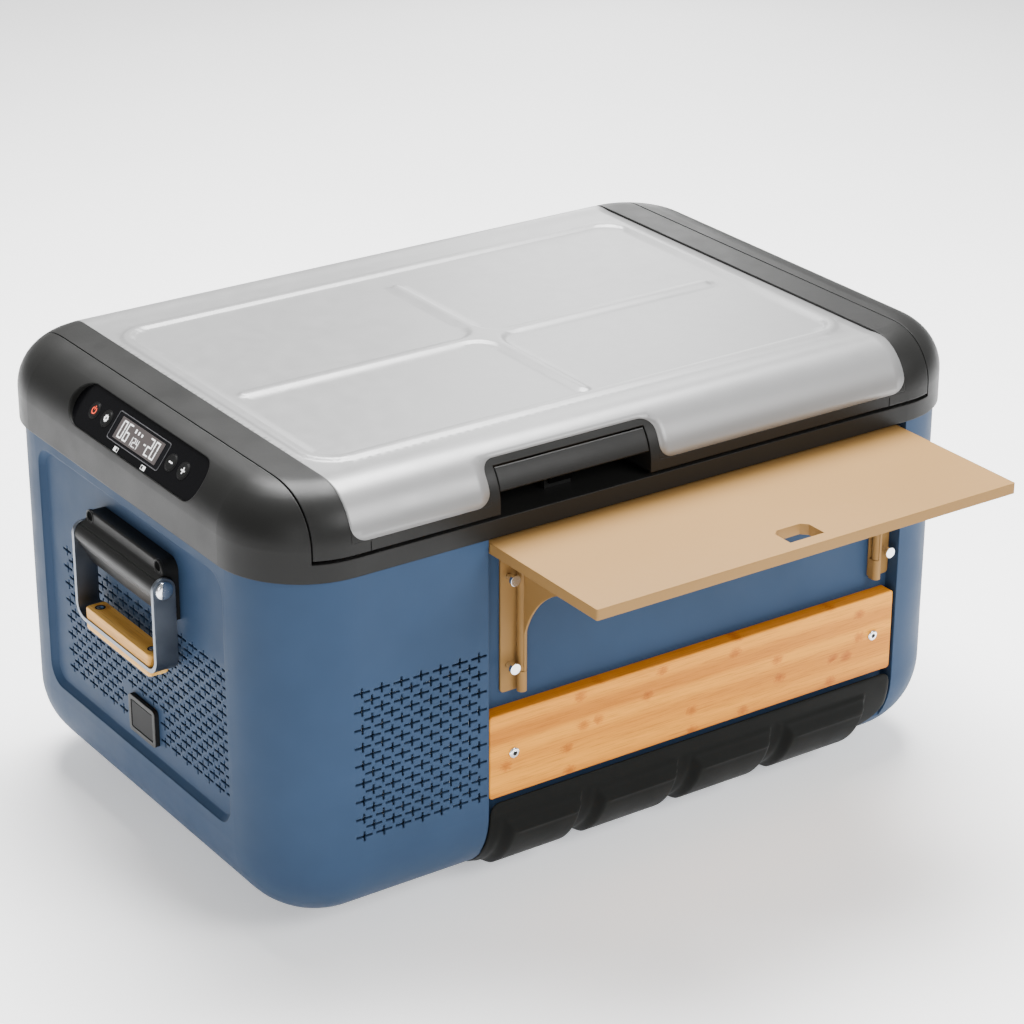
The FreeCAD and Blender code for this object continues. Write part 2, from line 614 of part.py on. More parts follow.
    radius = 3
    can_y, can_high, bay_x = size("can_y"), size("can_high"), size("bay_x")
    discharge = tube_along([(bay_x, can_y, can_high), (bay_x, can_y, 262), (bay_x, -210, 262), (bay_x, -210, 240)], radius, 14)
    liquid = tube_along([(-172, -210, 240), (-172, -210, 252), (-172, -120, 252), (-172, -120, 222)], radius, 5)
    suction = tube_along([(bay_x + 30, can_y, can_high - 2), (bay_x + 30, can_y, 200),
                          (size("bulkhead_x") - 6, can_y, 200), (size("bulkhead_x") - 6, can_y, 300)], radius, 14)
    capillary = tube_along([(-172, -120, 138), (-172, -120, 120), (-172, -60, 120), (-172, -60, 100)], 1.5, 5)
    keep("refrigerant_lines", made_shape("lines", Part.makeCompound([discharge, liquid, suction, capillary])))


# ---------------------------------------------------------------- controls

BUTTONS = {"power_button": "75", "mode_button": "55", "minus_button": "-50", "plus_button": "-69"}


def controls():
    plate = rounded_block("bezel_plate", centred("bezel_height"), centred("bezel_length"), ("0 - bezel_thick", "0"),
                          "bezel_height / 2 - 0.05")
    pocket(plate, "z", ("0 - bezel_thick", "0"), circles_outline(
        "button_radius + button_gap", *[("0", y) for y in BUTTONS.values()]))
    pocket(plate, "z", ("0 - bezel_thick", "0"), rounded_outline(
        centred("screen_height"), centred("screen_length", "screen_middle - bezel_middle"), "3"))
    keep("control_bezel", on_panel(plate))
    for node, y in BUTTONS.items():
        button = prism(node + "_body", "z", ("0 - bezel_thick - 1", "0.6"), circles_outline("button_radius", ("0", y)))
        keep(node, on_panel(dressed(button, "Fillet", "0.5", level("Z", "0.6"))))
    window = rounded_block("window", centred("screen_height"), centred("screen_length", "screen_middle - bezel_middle"),
                           ("-1.6", "-0.1"), "3")
    keep("display_window", on_panel(window))
    board = prism("board_plate", "z", ("-13", "-11.4"), rounded_outline(centred("32"), centred("176"), "3"))
    screen = prism("board_screen", "z", ("-11.4", "-2"), rounded_outline(
        centred("screen_height - 1"), centred("screen_length - 1", "screen_middle - bezel_middle"), "2.5"))
    switches = prism("board_switches", "z", ("-11.4", "-7.5"), circles_outline(
        "3", *[("0", y) for y in BUTTONS.values()]))
    keep("control_board", fuse("board", on_panel(board), on_panel(screen), on_panel(switches)))


# ---------------------------------------------------------------- power inlet

def power_inlet():
    face = "0 - body_length / 2 + end_panel_deep"
    rim_x = (f"{face} - inlet_proud", face)
    wide, tall = "inlet_wide", "inlet_tall"
    inner_wide, inner_tall = "inlet_wide - 2 * inlet_rim", "inlet_tall - 2 * inlet_rim"
    rim = prism("inlet_rim_body", "x", rim_x, rounded_outline(centred(wide, "inlet_y"), centred(tall, "inlet_z"), "4"))
    pocket(rim, "x", rim_x, rounded_outline(centred(inner_wide, "inlet_y"), centred(inner_tall, "inlet_z"), "1.5"))
    keep("socket_bezel", rim)

    cover_x = (f"{face} - inlet_proud + 0.4", f"{face} - inlet_proud + 2.6")
    cover_y = centred(f"{inner_wide} - 1", "inlet_y")
    axis = (f"{face} - inlet_proud + 1.5", f"inlet_z + ({inner_tall}) / 2 - 1.6")
    flap = prism("inlet_flap", "x", cover_x, rounded_outline(cover_y, (f"inlet_z - ({inner_tall}) / 2 + 0.5", axis[1]), "1"))
    keep("socket_cover", fuse("inlet_cover", flap, box("inlet_flap_top", cover_x, cover_y, (f"{axis[1]} - 3", axis[1])),
                              rod("inlet_flap_edge", "y", "1.1", cover_y, axis)))

    body = box("socket_block", (face, f"{face} + 24"), centred(f"{inner_wide} - 2", "inlet_y"), centred(f"{inner_tall} - 2", "inlet_z"))
    cavity = box("socket_cavity", (f"{face} - 1", f"{face} + 16"), centred("24", "inlet_y"), centred("12", "inlet_z"))
    pins = [rod(f"inlet_pin_{n}", "x", "1.6", (f"{face} + 4", f"{face} + 23"), (f"inlet_y + {side} * 5", "inlet_z"))
            for n, side in enumerate((-1, 1))]
    keep("power_socket", cut("socket", body, cavity, group("pin_holes", *pins)))
    keep("socket_pins", group("inlet_pins", *[
        rod(f"inlet_contact_{n}", "x", "1.6", (f"{face} + 4", f"{face} + 23"), (f"inlet_y + {side} * 5", "inlet_z"))
        for n, side in enumerate((-1, 1))]))


# ---------------------------------------------------------------- end handles

def handle(side, word):
    """A bail with a wooden grip that hangs from a bracket on one end of the cabinet."""
    panel = f"{side} * (body_length / 2 - end_panel_deep)"
    axis_x = f"{side} * bail_x"
    inside = "bail_width - 2 * bar_thick"
    plate = prism(f"{word}_plate", "x", (panel, f"{side} * (body_length / 2 - end_panel_deep + bracket_thick)"),
                  rounded_outline(centred(f"{inside} - 1", "bail_middle"), ("bracket_low", "bracket_high"), "5"))
    neck = box(f"{word}_neck", (panel, axis_x), centred(f"{inside} - 1", "bail_middle"),
               ("bail_z - barrel_radius + 2", "bail_z + barrel_radius - 2"))
    barrel = rod(f"{word}_barrel", "y", "barrel_radius", centred(f"{inside} - 1", "bail_middle"), (axis_x, "bail_z"))
    bore = rod(f"{word}_bore", "y", "pin_radius", centred(f"{inside} + 2", "bail_middle"), (axis_x, "bail_z"))
    screws = bracket_screws(side, word, "screw_radius", (panel, f"{side} * (body_length / 2 + 20)"))
    keep(f"{word}_handle_bracket", cut(f"{word}_bracket", fuse(f"{word}_bracket_solid", plate, neck, barrel), bore, *screws))

    outer = prism(f"{word}_bail_block", "x", centred("bar_wide", axis_x), rounded_outline(
        centred("bail_width", "bail_middle"), ("bail_z - bail_drop", "bail_z + bar_wide"), "bail_corner"))
    pocket(outer, "x", centred("bar_wide", axis_x), rounded_outline(
        centred(inside, "bail_middle"), ("bail_z - bail_drop + bar_thick", "bail_z + 2 * bar_wide"), "bail_corner - bar_thick"))
    arms = box(f"{word}_bail_reach", centred("bar_wide", axis_x), centred("bail_width + 2", "bail_middle"),
               ("bail_z - bail_drop - 1", "bail_z"))
    eyes = rod(f"{word}_bail_eyes", "y", "bar_wide / 2", centred("bail_width + 2", "bail_middle"), (axis_x, "bail_z"))
    hole = rod(f"{word}_bail_hole", "y", "pin_radius + 0.08", centred("bail_width + 4", "bail_middle"), (axis_x, "bail_z"))
    shaped = common(f"{word}_bail_shaped", outer, fuse(f"{word}_bail_form", arms, eyes))
    bolts = [rod(f"{word}_bail_bolt_{n}", "z", "2", ("bail_z - bail_drop - 1", "bail_z - bail_drop + bar_thick + 1"), at)
             for n, at in enumerate(grip_bolts(axis_x))]
    keep(f"{word}_bail", cut(f"{word}_bail_bar", shaped, hole, *bolts))

    top = "bail_z - bail_drop + bar_thick"
    low = "bail_z - bail_drop"
    grip_wide = centred("bar_wide - 2", axis_x)
    upper = rounded_block(f"{word}_grip_upper", grip_wide, centred(f"{inside} - 21", "bail_middle"), (top, f"{top} + 9"), "6", top="2.5")
    lower = rounded_block(f"{word}_grip_lower", grip_wide, centred(f"{inside} - 21", "bail_middle"), (f"{low} - 5", low), "6", bottom="2")
    drilled = []
    for half, name in ((upper, "upper"), (lower, "lower")):
        drilled.append(cut(f"{word}_{name}_drilled", half, *[
            rod(f"{word}_{name}_drill_{n}", "z", "2", ("bail_z - bail_drop - 9", f"{top} + 12"), at)
            for n, at in enumerate(grip_bolts(axis_x))]))
    keep(f"{word}_grip", group(f"{word}_grip_halves", *drilled))
    keep(f"{word}_grip_screws", group(f"{word}_grip_bolts", *[
        rod(f"{word}_grip_bolt_{n}", "z", "2", (f"{low} - 4", f"{top} + 8"), at)
        for n, at in enumerate(grip_bolts(axis_x))]))


def grip_bolts(axis_x):
    return [(axis_x, f"bail_middle + {side} * 44") for side in (-1, 1)]


def bracket_screws(side, word, radius, ends):
    return [rod(f"{word}_{n}_{radius}_screw".replace(" ", ""), "x", radius, ends, (f"bail_middle + {place} * 56", "bracket_high - 5.5"))
            for n, place in enumerate((-1, 1))]


def handles():
    for side, word in ((-1, "left"), (1, "right")):
        handle(side, word)
    pins = []
    for side in (-1, 1):
        for end in (-1, 1):
            name = f"bail_pin_{side + 1}_{end + 1}"
            outer = f"bail_middle + {end} * (bail_width / 2 + 0.3)"
            pins.append(fuse(name, rod(name + "_stem", "y", "pin_radius", (outer, f"bail_middle + {end} * 50"),
                                       (f"{side} * bail_x", "bail_z")),
                             rod(name + "_head", "y", "pin_radius + 3", (outer, f"{outer} + {end} * 2.5"),
                                 (f"{side} * bail_x", "bail_z"))))
    keep("bail_pins", group("bail_pin_set", *pins))


# ---------------------------------------------------------------- front rail, bumper, feet, screws

def rail_screws():
    return [(x, "(rail_low + rail_high) / 2") for x in ("rail_screw_left", "rail_screw_right")]


def front_trim():
    board = prism("rail_board", "y", (f"{FRONT} + 0.5", RECESS_WALL), rounded_outline(
        ("rail_left", "rail_right"), ("rail_low", "rail_high"), "3"))
    pocket(board, "y", (f"{FRONT} + 0.5", RECESS_WALL), circles_outline("screw_radius", *rail_screws()))
    keep("bamboo_rail", dressed(board, "Chamfer", "0.8", level("Y", f"{FRONT} + 0.5")))

    screws = []
    for n, at in enumerate(rail_screws()):
        screws.append(fuse(f"rail_screw_{n}",
                           rod(f"rail_stem_{n}", "y", "screw_radius", (f"{FRONT} + 0.5", f"{RECESS_WALL} + wall"), at),
                           rod(f"rail_head_{n}", "y", "head_radius", (f"{FRONT} - 2", f"{FRONT} + 0.5"), at)))
    for side, word in ((-1, "left"), (1, "right")):
        face = f"{side} * (body_length / 2 - end_panel_deep + bracket_thick)"
        heads = bracket_screws(side, word + "_head", "4", (face, f"{face} + {side} * 1.6"))
        stems = bracket_screws(side, word + "_stem", "screw_radius", (f"{side} * (body_length / 2 - end_panel_deep)", face))
        screws += [fuse(f"{word}_case_screw_{n}", head, stem) for n, (head, stem) in enumerate(zip(heads, stems))]
    keep("case_screws", group("case_screw_set", *screws))

    reach = ("recess_left + 1.2", "recess_right - 2.5")
    skin = cabinet_block("bumper_skin", "0 - bumper_proud", "bumper_high + 20")
    band = box("bumper_band", reach, (f"{FRONT} - 20", "-190"), ("bumper_low", "bumper_high"))
    swell = cabinet_block("bumper_swell", "0 - lobe_proud", "bumper_high + 20")
    lobes = []
    for n in range(4):
        middle = f"lobe_first + lobe_wide / 2 + {n} * lobe_pitch"
        lobe = prism(f"lobe_{n}", "y", (f"{FRONT} - 20", "-190"), rounded_outline(
            centred("lobe_wide", middle), ("bumper_low + 2", "bumper_high - 12"), "14"))
        lobes.append(lobe)
    swollen = common("bumper_lobes", swell, group("bumper_lobe_set", *lobes))
    whole = fuse("bumper_whole", common("bumper_plain", skin, band), swollen)
    inside = cut("bumper_back", cabinet_block("bumper_inside", "0", "body_top"),
                 box("bumper_keep", ("recess_left", "recess_right"), (f"{FRONT} - 20", RECESS_WALL), ("0", "body_top + 20")))
    keep("front_bumper", cut("bumper", whole, inside))

    feet = []
    for n, at in enumerate(foot_bolts()):
        foot = prism(f"foot_{n}", "z", ("0", "foot_height"), circles_outline("foot_radius", at))
        dressed(foot, "Fillet", "2", level("Z", "0"))
        feet.append(cut(f"foot_drilled_{n}", foot, rod(f"foot_drill_{n}", "z", "foot_bolt", ("-1", "foot_height + 1"), at)))
    keep("rubber_feet", group("feet", *feet))


# ---------------------------------------------------------------- lid

def lid_box(name, x, z, grown="0"):
    return everywhere(name, (f"{x[0]} - ({grown})", f"{x[1]} + ({grown})"), z)


def grab(name, side, grown):
    """The finger pocket at one long edge of the lid, or the block that keeps its walls."""
    outer = f"{side} * (frame_depth / 2 + (10 - ({grown}) * 4))"
    inner = f"{side} * (frame_depth / 2 - grab_depth - ({grown}))"
    low = "lid_bottom - 5" if size(grown) == 0 else "lid_bottom"
    return box(name, (f"grab_left - ({grown})", f"grab_right + ({grown})"), (inner, outer), (low, f"grab_top + ({grown})"))


def hood(name, side):
    """The stretch of the lid's edge around a finger pocket that the metal top leaves free."""
    return box(name, ("hood_left", "hood_right"), (f"{side} * 150", f"{side} * frame_depth"), ("lid_bottom - 9", "hood_top"))


def notches():
    """The room that the two hinge lugs need in the lid's back edge."""
    return [box(f"lid_notch_{n}", centred("2 * lug_half + 4", f"{side} * lug_place"),
                ("hinge_y - lug_radius - 2.5", "hinge_y + 20"), ("lid_bottom - 5", "hinge_z + lug_radius + 2"))
            for n, side in enumerate((-1, 1))]


def back_relief():
    """Rounds the lid's lower back edge about the hinge axis."""
    corner = box("relief_corner", ("lid_left - 5", "lid_right + 5"), ("hinge_y", "hinge_y + 30"), ("lid_bottom - 5", "hinge_z"))
    barrel = rod("relief_barrel", "x", "lug_radius", ("lid_left - 9", "lid_right + 9"), ("hinge_y", "hinge_z"))
    return cut("relief", corner, barrel)


def lid():
    zone = lid_box("lid_zone", ("lid_left + lid_gap", "lid_right - lid_gap"), ("lid_bottom", "frame_top + 9"))
    whole = common("lid_whole", envelope("lid_outer", "0"), zone)
    under = envelope("lid_under", "panel_thick")
    metal_zone = cut("metal_zone", lid_box("metal_reach", ("panel_left", "panel_right"), ("panel_edge", "frame_top + 9")),
                     hood("metal_hood_front", -1), hood("metal_hood_back", 1))
    gaps = notches()
    metal = common("metal_skin", cut("lid_metal_shell", whole, under), metal_zone)
    keep("lid_top_panel", cut("metal_notched", metal, *gaps))

    body = cut("lid_body", whole, metal_zone_block(metal_zone, under))
    cavity = common("lid_cavity", envelope("lid_inner", "lid_skin"),
                    lid_box("lid_cavity_reach", ("lid_left + lid_skin", "lid_right - lid_skin"), ("lid_bottom - 9", "frame_top")))
    walls = common("grab_walls", fuse("grab_blocks", grab("grab_wall_front", -1, "hood_wall"), grab("grab_wall_back", 1, "hood_wall")),
                   envelope("grab_limit", "1"))
    shell = fuse("lid_shell", cut("lid_hollow", body, cavity), walls)
    bores = [rod(f"lid_bore_{n}", "x", "hinge_pin + 0.08", centred("5 * lug_half + 1", f"{side} * lug_place"), ("hinge_y", "hinge_z"))
             for n, side in enumerate((-1, 1))]
    pads = [box(f"lid_hinge_pad_{n}", centred("5 * lug_half + 8", f"{side} * lug_place"), ("hinge_y - 14", "hinge_y + 4"),
                ("lid_bottom", "hinge_z + lug_radius + 5")) for n, side in enumerate((-1, 1))]
    held = common("lid_hinge_pads", fuse("lid_hinge_pad_pair", *pads), envelope("pad_limit", "panel_thick + 0.2"))
    latch_holes = [rod(f"latch_hole_{n}", "x", "1.5", ("grab_left - hood_wall - 1", "grab_right + hood_wall + 1"), latch_axis(side))
                   for n, side in enumerate((-1, 1))]
    finished = cut("lid_finished", fuse("lid_with_pads", shell, held), grab("grab_cut_front", -1, "0"), grab("grab_cut_back", 1, "0"),
                   *gaps, back_relief(), *bores, *latch_holes)
    pieces = {
        "lid_left_cap": box("take_left", ("lid_left - 9", "cap_seam_left"), centred("2 * frame_depth"), ("300", "400")),
        "lid_right_cap": box("take_right", ("cap_seam_right", "lid_right + 9"), centred("2 * frame_depth"), ("300", "400")),
        "lid_front_rail": box("take_front", ("cap_seam_left", "cap_seam_right"), ("0 - frame_depth", "0"), ("300", "400")),
        "lid_rear_rail": box("take_rear", ("cap_seam_left", "cap_seam_right"), ("0", "frame_depth"), ("300", "400")),
    }
    for node, part in pieces.items():
        keep(node, common(node + "_taken", finished, part))

    room = cut("lid_room", common("lid_fill_form", envelope("lid_fill_outer", "lid_skin + 0.3"),
                                  lid_box("lid_fill_reach", ("lid_left + lid_skin + 0.3", "lid_right - lid_skin - 0.3"),
                                          ("lid_bottom", "frame_top"))),
               grab("fill_front", -1, "hood_wall + 0.3"), grab("fill_back", 1, "hood_wall + 0.3"),
               *[box(f"fill_hinge_{n}", centred("5 * lug_half + 9", f"{side} * lug_place"), ("hinge_y - 15", "hinge_y + 30"),
                     ("lid_bottom - 5", "hinge_z + lug_radius + 6")) for n, side in enumerate((-1, 1))])
    keep("lid_liner", common("lid_liner_sheet", room, lid_box("lid_liner_slab", ("lid_left", "lid_right"), ("lid_bottom", "lid_bottom + 3"))))
    keep("lid_foam", common("lid_foam_block", room, lid_box("lid_foam_slab", ("lid_left", "lid_right"), ("lid_bottom + 3", "frame_top"))))
    seal_low, seal_high = "deck_top + 0.4", "lid_bottom"
    ring = prism("seal", "z", (seal_low, seal_high), rounded_outline(
        ("well_left - 12", "well_right + 10"), ("well_front - 9", "well_back + 12"), "well_corner + 8"))
    pocket(ring, "z", (seal_low, seal_high), rounded_outline(
        ("well_left - 2", "well_right + 1"), ("well_front - 1", "well_back + 2"), "well_corner"))
    keep("lid_gasket", ring)


def metal_zone_block(zone, under):
    """What the metal top takes from the lid's plastic body: its zone, outside the face below it."""
    return cut("metal_room", zone, under)


def latch_axis(side):
    """Where a latch lever turns, just inside the shoulder of the lid."""
    angle = math.radians(36)
    reach = size("shoulder") - 4.6
    y = size("frame_depth / 2 - shoulder") + reach * math.cos(angle)
    z = size("frame_top - shoulder") + reach * math.sin(angle)
    return side * y, z


def latch(side, word):
    """A pull lever that closes the top of a finger pocket, with a tongue towards its catch post."""
    y_axis, z_axis = latch_axis(side)
    outer = size("shoulder") - 0.4
    centre_y, centre_z = size("frame_depth / 2 - shoulder"), size("frame_top - shoulder")

    def at(radius, degrees):
        angle = math.radians(degrees)
        return side * (centre_y + radius * math.cos(angle)), centre_z + radius * math.sin(angle)

    start, middle, end = at(outer, 37), at(outer, 27), at(outer, 17)
    lip = prism(f"{word}_lip", "x", ("grab_left + 1", "grab_right - 1"), corner_outline(
        (*start, middle), end, (side * 207, 364), (side * 207, 367), at(outer - 4, 21), (y_axis, z_axis - 1)))
    barrel = rod(f"{word}_latch_barrel", "x", "3.4", ("grab_left + 1", "grab_right - 1"), (y_axis, z_axis))
    tongue = box(f"{word}_tongue", ("-78", "-57"), (side * 209, side * 206.5), (341, 366))
    bore = rod(f"{word}_latch_bore", "x", "1.58", ("grab_left", "grab_right"), (y_axis, z_axis))
    keep(f"{word}_latch_lever", cut(f"{word}_lever", fuse(f"{word}_lever_solid", lip, barrel, tongue), bore))


def latches():
    for side, word in ((-1, "front"), (1, "rear")):
        latch(side, word)
    keep("latch_pins", group("latch_pin_pair", *[
        rod(f"latch_pin_{n}", "x", "1.5", ("grab_left - hood_wall", "grab_right + hood_wall"), latch_axis(side))
        for n, side in enumerate((-1, 1))]))


# ---------------------------------------------------------------- side table

def table():
    top = prism("table_board", "z", ("table_low", "table_high"), rounded_outline(
        ("table_left", "table_right"), ("table_front", "table_back"), "1.5"))
    pocket(top, "z", ("table_low", "table_high"), corner_outline(
        ("slot_left", "slot_front"), ("slot_right", "slot_front"), ("slot_right", "slot_back - slot_chamfer"),
        ("slot_right - slot_chamfer", "slot_back"), ("slot_left + slot_chamfer", "slot_back"),
        ("slot_left", "slot_back - slot_chamfer")))
    axis = ("table_axis_y", "(table_low + table_high) / 2")
    bores = [rod("table_bore_left", "x", "2.08", ("table_left - 1", "table_left + 14"), axis),
             rod("table_bore_right", "x", "2.08", ("table_right - 14", "table_right + 1"), axis)]
    keep("table_top", cut("table_drilled", top, *bores))
    bumpers = [rod(f"table_bumper_{n}", "z", "7", ("table_low - 4", "table_low"), (x, "table_front + 16"))
               for n, x in enumerate(("table_left + 22", "table_right - 22"))]
    keep("table_bumpers", group("table_bumper_pair", *bumpers))

    pins = [rod("table_pin_left", "x", "2", ("recess_left", "table_left + 13"), axis),
            rod("table_pin_right", "x", "2", ("table_right - 13", "recess_right"), axis)]
    studs = []
    for side, word in ((1, "left"), (-1, "right")):
        pins.append(gate(side, word))
        for level_name in ("stud_low", "stud_high"):
            x = f"gate_{word} - {side} * 10"
            name = f"{word}_{level_name}"
            studs.append(fuse(name, rod(name + "_stem", "y", "2", (f"{RECESS_WALL} - 10", RECESS_WALL), (x, level_name)),
                              rod(name + "_head", "y", "4.6", (f"{RECESS_WALL} - 13", f"{RECESS_WALL} - 10"), (x, level_name))))
    keep("table_pins", group("table_pin_set", *pins))
    keep("wall_studs", group("stud_set", *studs))


def gate(side, word):
    """A wall plate with a gusset that swings on an upright pin; returns the pin."""
    x = f"gate_{word}"
    axis = (x, "gate_y")
    face = f"{RECESS_WALL} - sheet"
    plate = prism(f"{word}_wall_sheet", "y", (face, RECESS_WALL), rounded_outline(
        ordered(f"{x} - {side} * (plate_wide - 4)", f"{x} + {side} * 4"), ("gate_low", "gate_high"), "3"))
    pocket(plate, "y", (face, RECESS_WALL), circles_outline(
        "2.1", (f"{x} - {side} * 10", "stud_low"), (f"{x} - {side} * 10", "stud_high")))
    ends = {"low": ("gate_low", "gate_low + knuckle"), "high": ("gate_high - knuckle", "gate_high")}
    knuckles = []
    for name, span in ends.items():
        knuckles.append(rod(f"{word}_knuckle_{name}", "z", "knuckle_radius", span, axis))
        knuckles.append(box(f"{word}_web_{name}", (x, f"{x} + {side} * 4"), ("gate_y", face), span))
    bore = rod(f"{word}_wall_bore", "z", "gate_pin", ("gate_low - 1", "gate_high + 1"), axis)
    keep(f"{word}_wall_plate", cut(f"{word}_wall", fuse(f"{word}_wall_solid", plate, *knuckles), bore))

    foot, tip = "gate_y - knuckle_radius - 0.6", "gate_y - gate_reach"
    gusset = prism(f"{word}_gusset_sheet", "x", centred("sheet", x), corner_outline(
        (foot, "table_low - 0.3"), (tip, "table_low - 0.3"),
        (tip, "table_low - 24", ("gate_y - 16", "252")), (foot, "gate_low + 2")))
    barrel = rod(f"{word}_gusset_barrel", "z", "knuckle_radius",
                 ("gate_low + knuckle + 0.5", "gate_high - knuckle - 0.5"), axis)
    web = box(f"{word}_gusset_web", centred("sheet", x), (foot, "gate_y"),
              ("gate_low + knuckle + 0.5", "gate_high - knuckle - 0.5"))
    turning = rod(f"{word}_gusset_bore", "z", "gate_pin + 0.08", ("gate_low", "gate_high"), axis)
    keep(f"{word}_gusset", cut(f"{word}_gusset_drilled", fuse(f"{word}_gusset_solid", gusset, barrel, web), turning))
    return rod(f"{word}_gate_pin", "z", "gate_pin", ("gate_low", "gate_high"), axis)


# ---------------------------------------------------------------- build, check and write

def problems():
    """Names what failed in the document, or is no valid solid."""
    found = [f"{item.Name}: {item.State}" for item in doc.Objects
             if any(word in ("Invalid", "Error") for word in item.State)]
    for node, item in NODES.items():
        shape = item.Shape
        if shape.isNull() or not shape.isValid() or not shape.Solids:
            found.append(f"{node}: no valid solid")
    return found


def main():
    outer_shell()
    upper_frame()
    cold_box()
    compressor_bay()
    controls()
    power_inlet()
    handles()
    front_trim()
    lid()
    latches()
    table()
    doc.recompute()
    found = problems()
    if found:
        raise RuntimeError("\n".join(found))
    os.makedirs("parts", exist_ok=True)
    for node, item in NODES.items():
        item.Shape.exportStep(f"parts/{node}.step")
        print(f"{node}: {len(item.Shape.Solids)} solid(s), {item.Shape.Volume / 1000:.1f} cm3")


main()
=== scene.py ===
"""Looks of the compressor cooler fridge: materials, moulded details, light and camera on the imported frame."""

import json
import math

import bmesh
import bpy
import mathutils
from mathutils import Matrix, Vector


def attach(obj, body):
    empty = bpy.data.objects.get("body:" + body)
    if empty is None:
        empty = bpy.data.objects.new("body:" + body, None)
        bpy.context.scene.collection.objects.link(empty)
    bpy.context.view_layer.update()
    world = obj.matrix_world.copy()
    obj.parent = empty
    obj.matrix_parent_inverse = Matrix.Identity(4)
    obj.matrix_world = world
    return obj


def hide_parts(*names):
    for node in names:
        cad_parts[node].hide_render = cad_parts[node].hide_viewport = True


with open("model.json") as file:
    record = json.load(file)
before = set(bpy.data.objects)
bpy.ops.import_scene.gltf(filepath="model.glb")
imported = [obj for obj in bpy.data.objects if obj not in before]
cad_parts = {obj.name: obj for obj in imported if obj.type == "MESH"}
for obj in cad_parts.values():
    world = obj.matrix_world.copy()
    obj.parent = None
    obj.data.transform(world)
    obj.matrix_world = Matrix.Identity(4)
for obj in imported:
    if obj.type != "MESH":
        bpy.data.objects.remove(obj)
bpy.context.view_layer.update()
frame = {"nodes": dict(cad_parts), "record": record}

MM = 0.001
ALONG, INWARD, UPWARD = (1, 0, 0), (0, 1, 0), (0, 0, 1)
FORWARD, DOWNWARD = (0, -1, 0), (0, 0, -1)
SIDES = ((-1, "left"), (1, "right"))
WOOD_DEEP, WOOD_MIDDLE, WOOD_LIGHT = (0.46, 0.155, 0.008), (0.60, 0.225, 0.012), (0.73, 0.30, 0.020)


# ---------------------------------------------------------------- node helpers

class Shader:
    """A material's node tree, with short calls for the nodes it uses."""

    def __init__(self, name):
        self.material = bpy.data.materials.new(name)
        self.material.use_nodes = True
        self.tree = self.material.node_tree
        self.tree.nodes.clear()
        self.output = self.add("OutputMaterial")
        self.surface = self.add("BsdfPrincipled")
        self.link(self.surface, "BSDF", self.output, "Surface")

    def add(self, kind, **settings):
        node = self.tree.nodes.new("ShaderNode" + kind)
        for name, value in settings.items():
            setattr(node, name, value)
        return node

    def link(self, source, out, target, into):
        self.tree.links.new(source.outputs[out], target.inputs[into])

    def set(self, node, **values):
        for name, value in values.items():
            node.inputs[name.replace("_", " ")].default_value = value
        return node

    def place(self, scale=(1, 1, 1)):
        """Coordinates in metres, stretched by a scale."""
        coordinates = self.add("TexCoord")
        mapping = self.add("Mapping")
        mapping.inputs["Scale"].default_value = scale
        self.link(coordinates, "Object", mapping, "Vector")
        return mapping

    def noise(self, scale, detail=4, stretch=(1, 1, 1), rough=0.6):
        node = self.add("TexNoise")
        self.set(node, Scale=scale, Detail=detail, Roughness=rough)
        self.link(self.place(stretch), "Vector", node, "Vector")
        return node

    def ramp(self, source, out, stops):
        node = self.add("ValToRGB")
        elements = node.color_ramp.elements
        while len(elements) < len(stops):
            elements.new(0.5)
        for element, (position, colour) in zip(elements, stops):
            element.position = position
            element.color = (*colour, 1) if len(colour) == 3 else colour
        self.link(source, out, node, "Fac")
        return node

    def mix(self, blend, factor, a, b):
        """Mixes two colours, each a value or a node's (node, output)."""
        node = self.add("Mix", data_type="RGBA", blend_type=blend)
        for key, value in ((0, factor), (6, a), (7, b)):
            if isinstance(value, tuple) and hasattr(value[0], "outputs"):
                self.tree.links.new(value[0].outputs[value[1]], node.inputs[key])
            else:
                node.inputs[key].default_value = value if key == 0 else (*value, 1)
        return node

    def bump(self, height, out, strength, distance, edge=0.0):
        """Bump from a height, over edges rounded by a radius."""
        node = self.add("Bump")
        self.set(node, Strength=strength, Distance=distance)
        self.link(height, out, node, "Height")
        if edge:
            bevel = self.add("Bevel", samples=6)
            bevel.inputs["Radius"].default_value = edge
            self.link(bevel, "Normal", node, "Normal")
        self.link(node, "Normal", self.surface, "Normal")
        return node


def moulded(name, colour, rough=0.45, grain=2600, strength=0.12, edge=0.0012, specular=0.22, speckle=0.06):
    """Moulded plastic with a fine spark-eroded grain and slight unevenness of colour and gloss."""
    s = Shader(name)
    cloud = s.noise(9, 3)
    shade = tuple(c * (1 - speckle * 2.2) for c in colour)
    base = s.ramp(cloud, "Fac", [(0.32, shade), (0.68, colour)])
    s.link(base, "Color", s.surface, "Base Color")
    smudge = s.noise(26, 5)
    shine = s.ramp(smudge, "Fac", [(0.3, (rough - 0.05,) * 3), (0.75, (rough + 0.07,) * 3)])
    s.link(shine, "Color", s.surface, "Roughness")
    s.bump(s.noise(grain, 2), "Fac", strength, 0.0002, edge)
    s.set(s.surface, Specular_IOR_Level=specular)
    return s.material


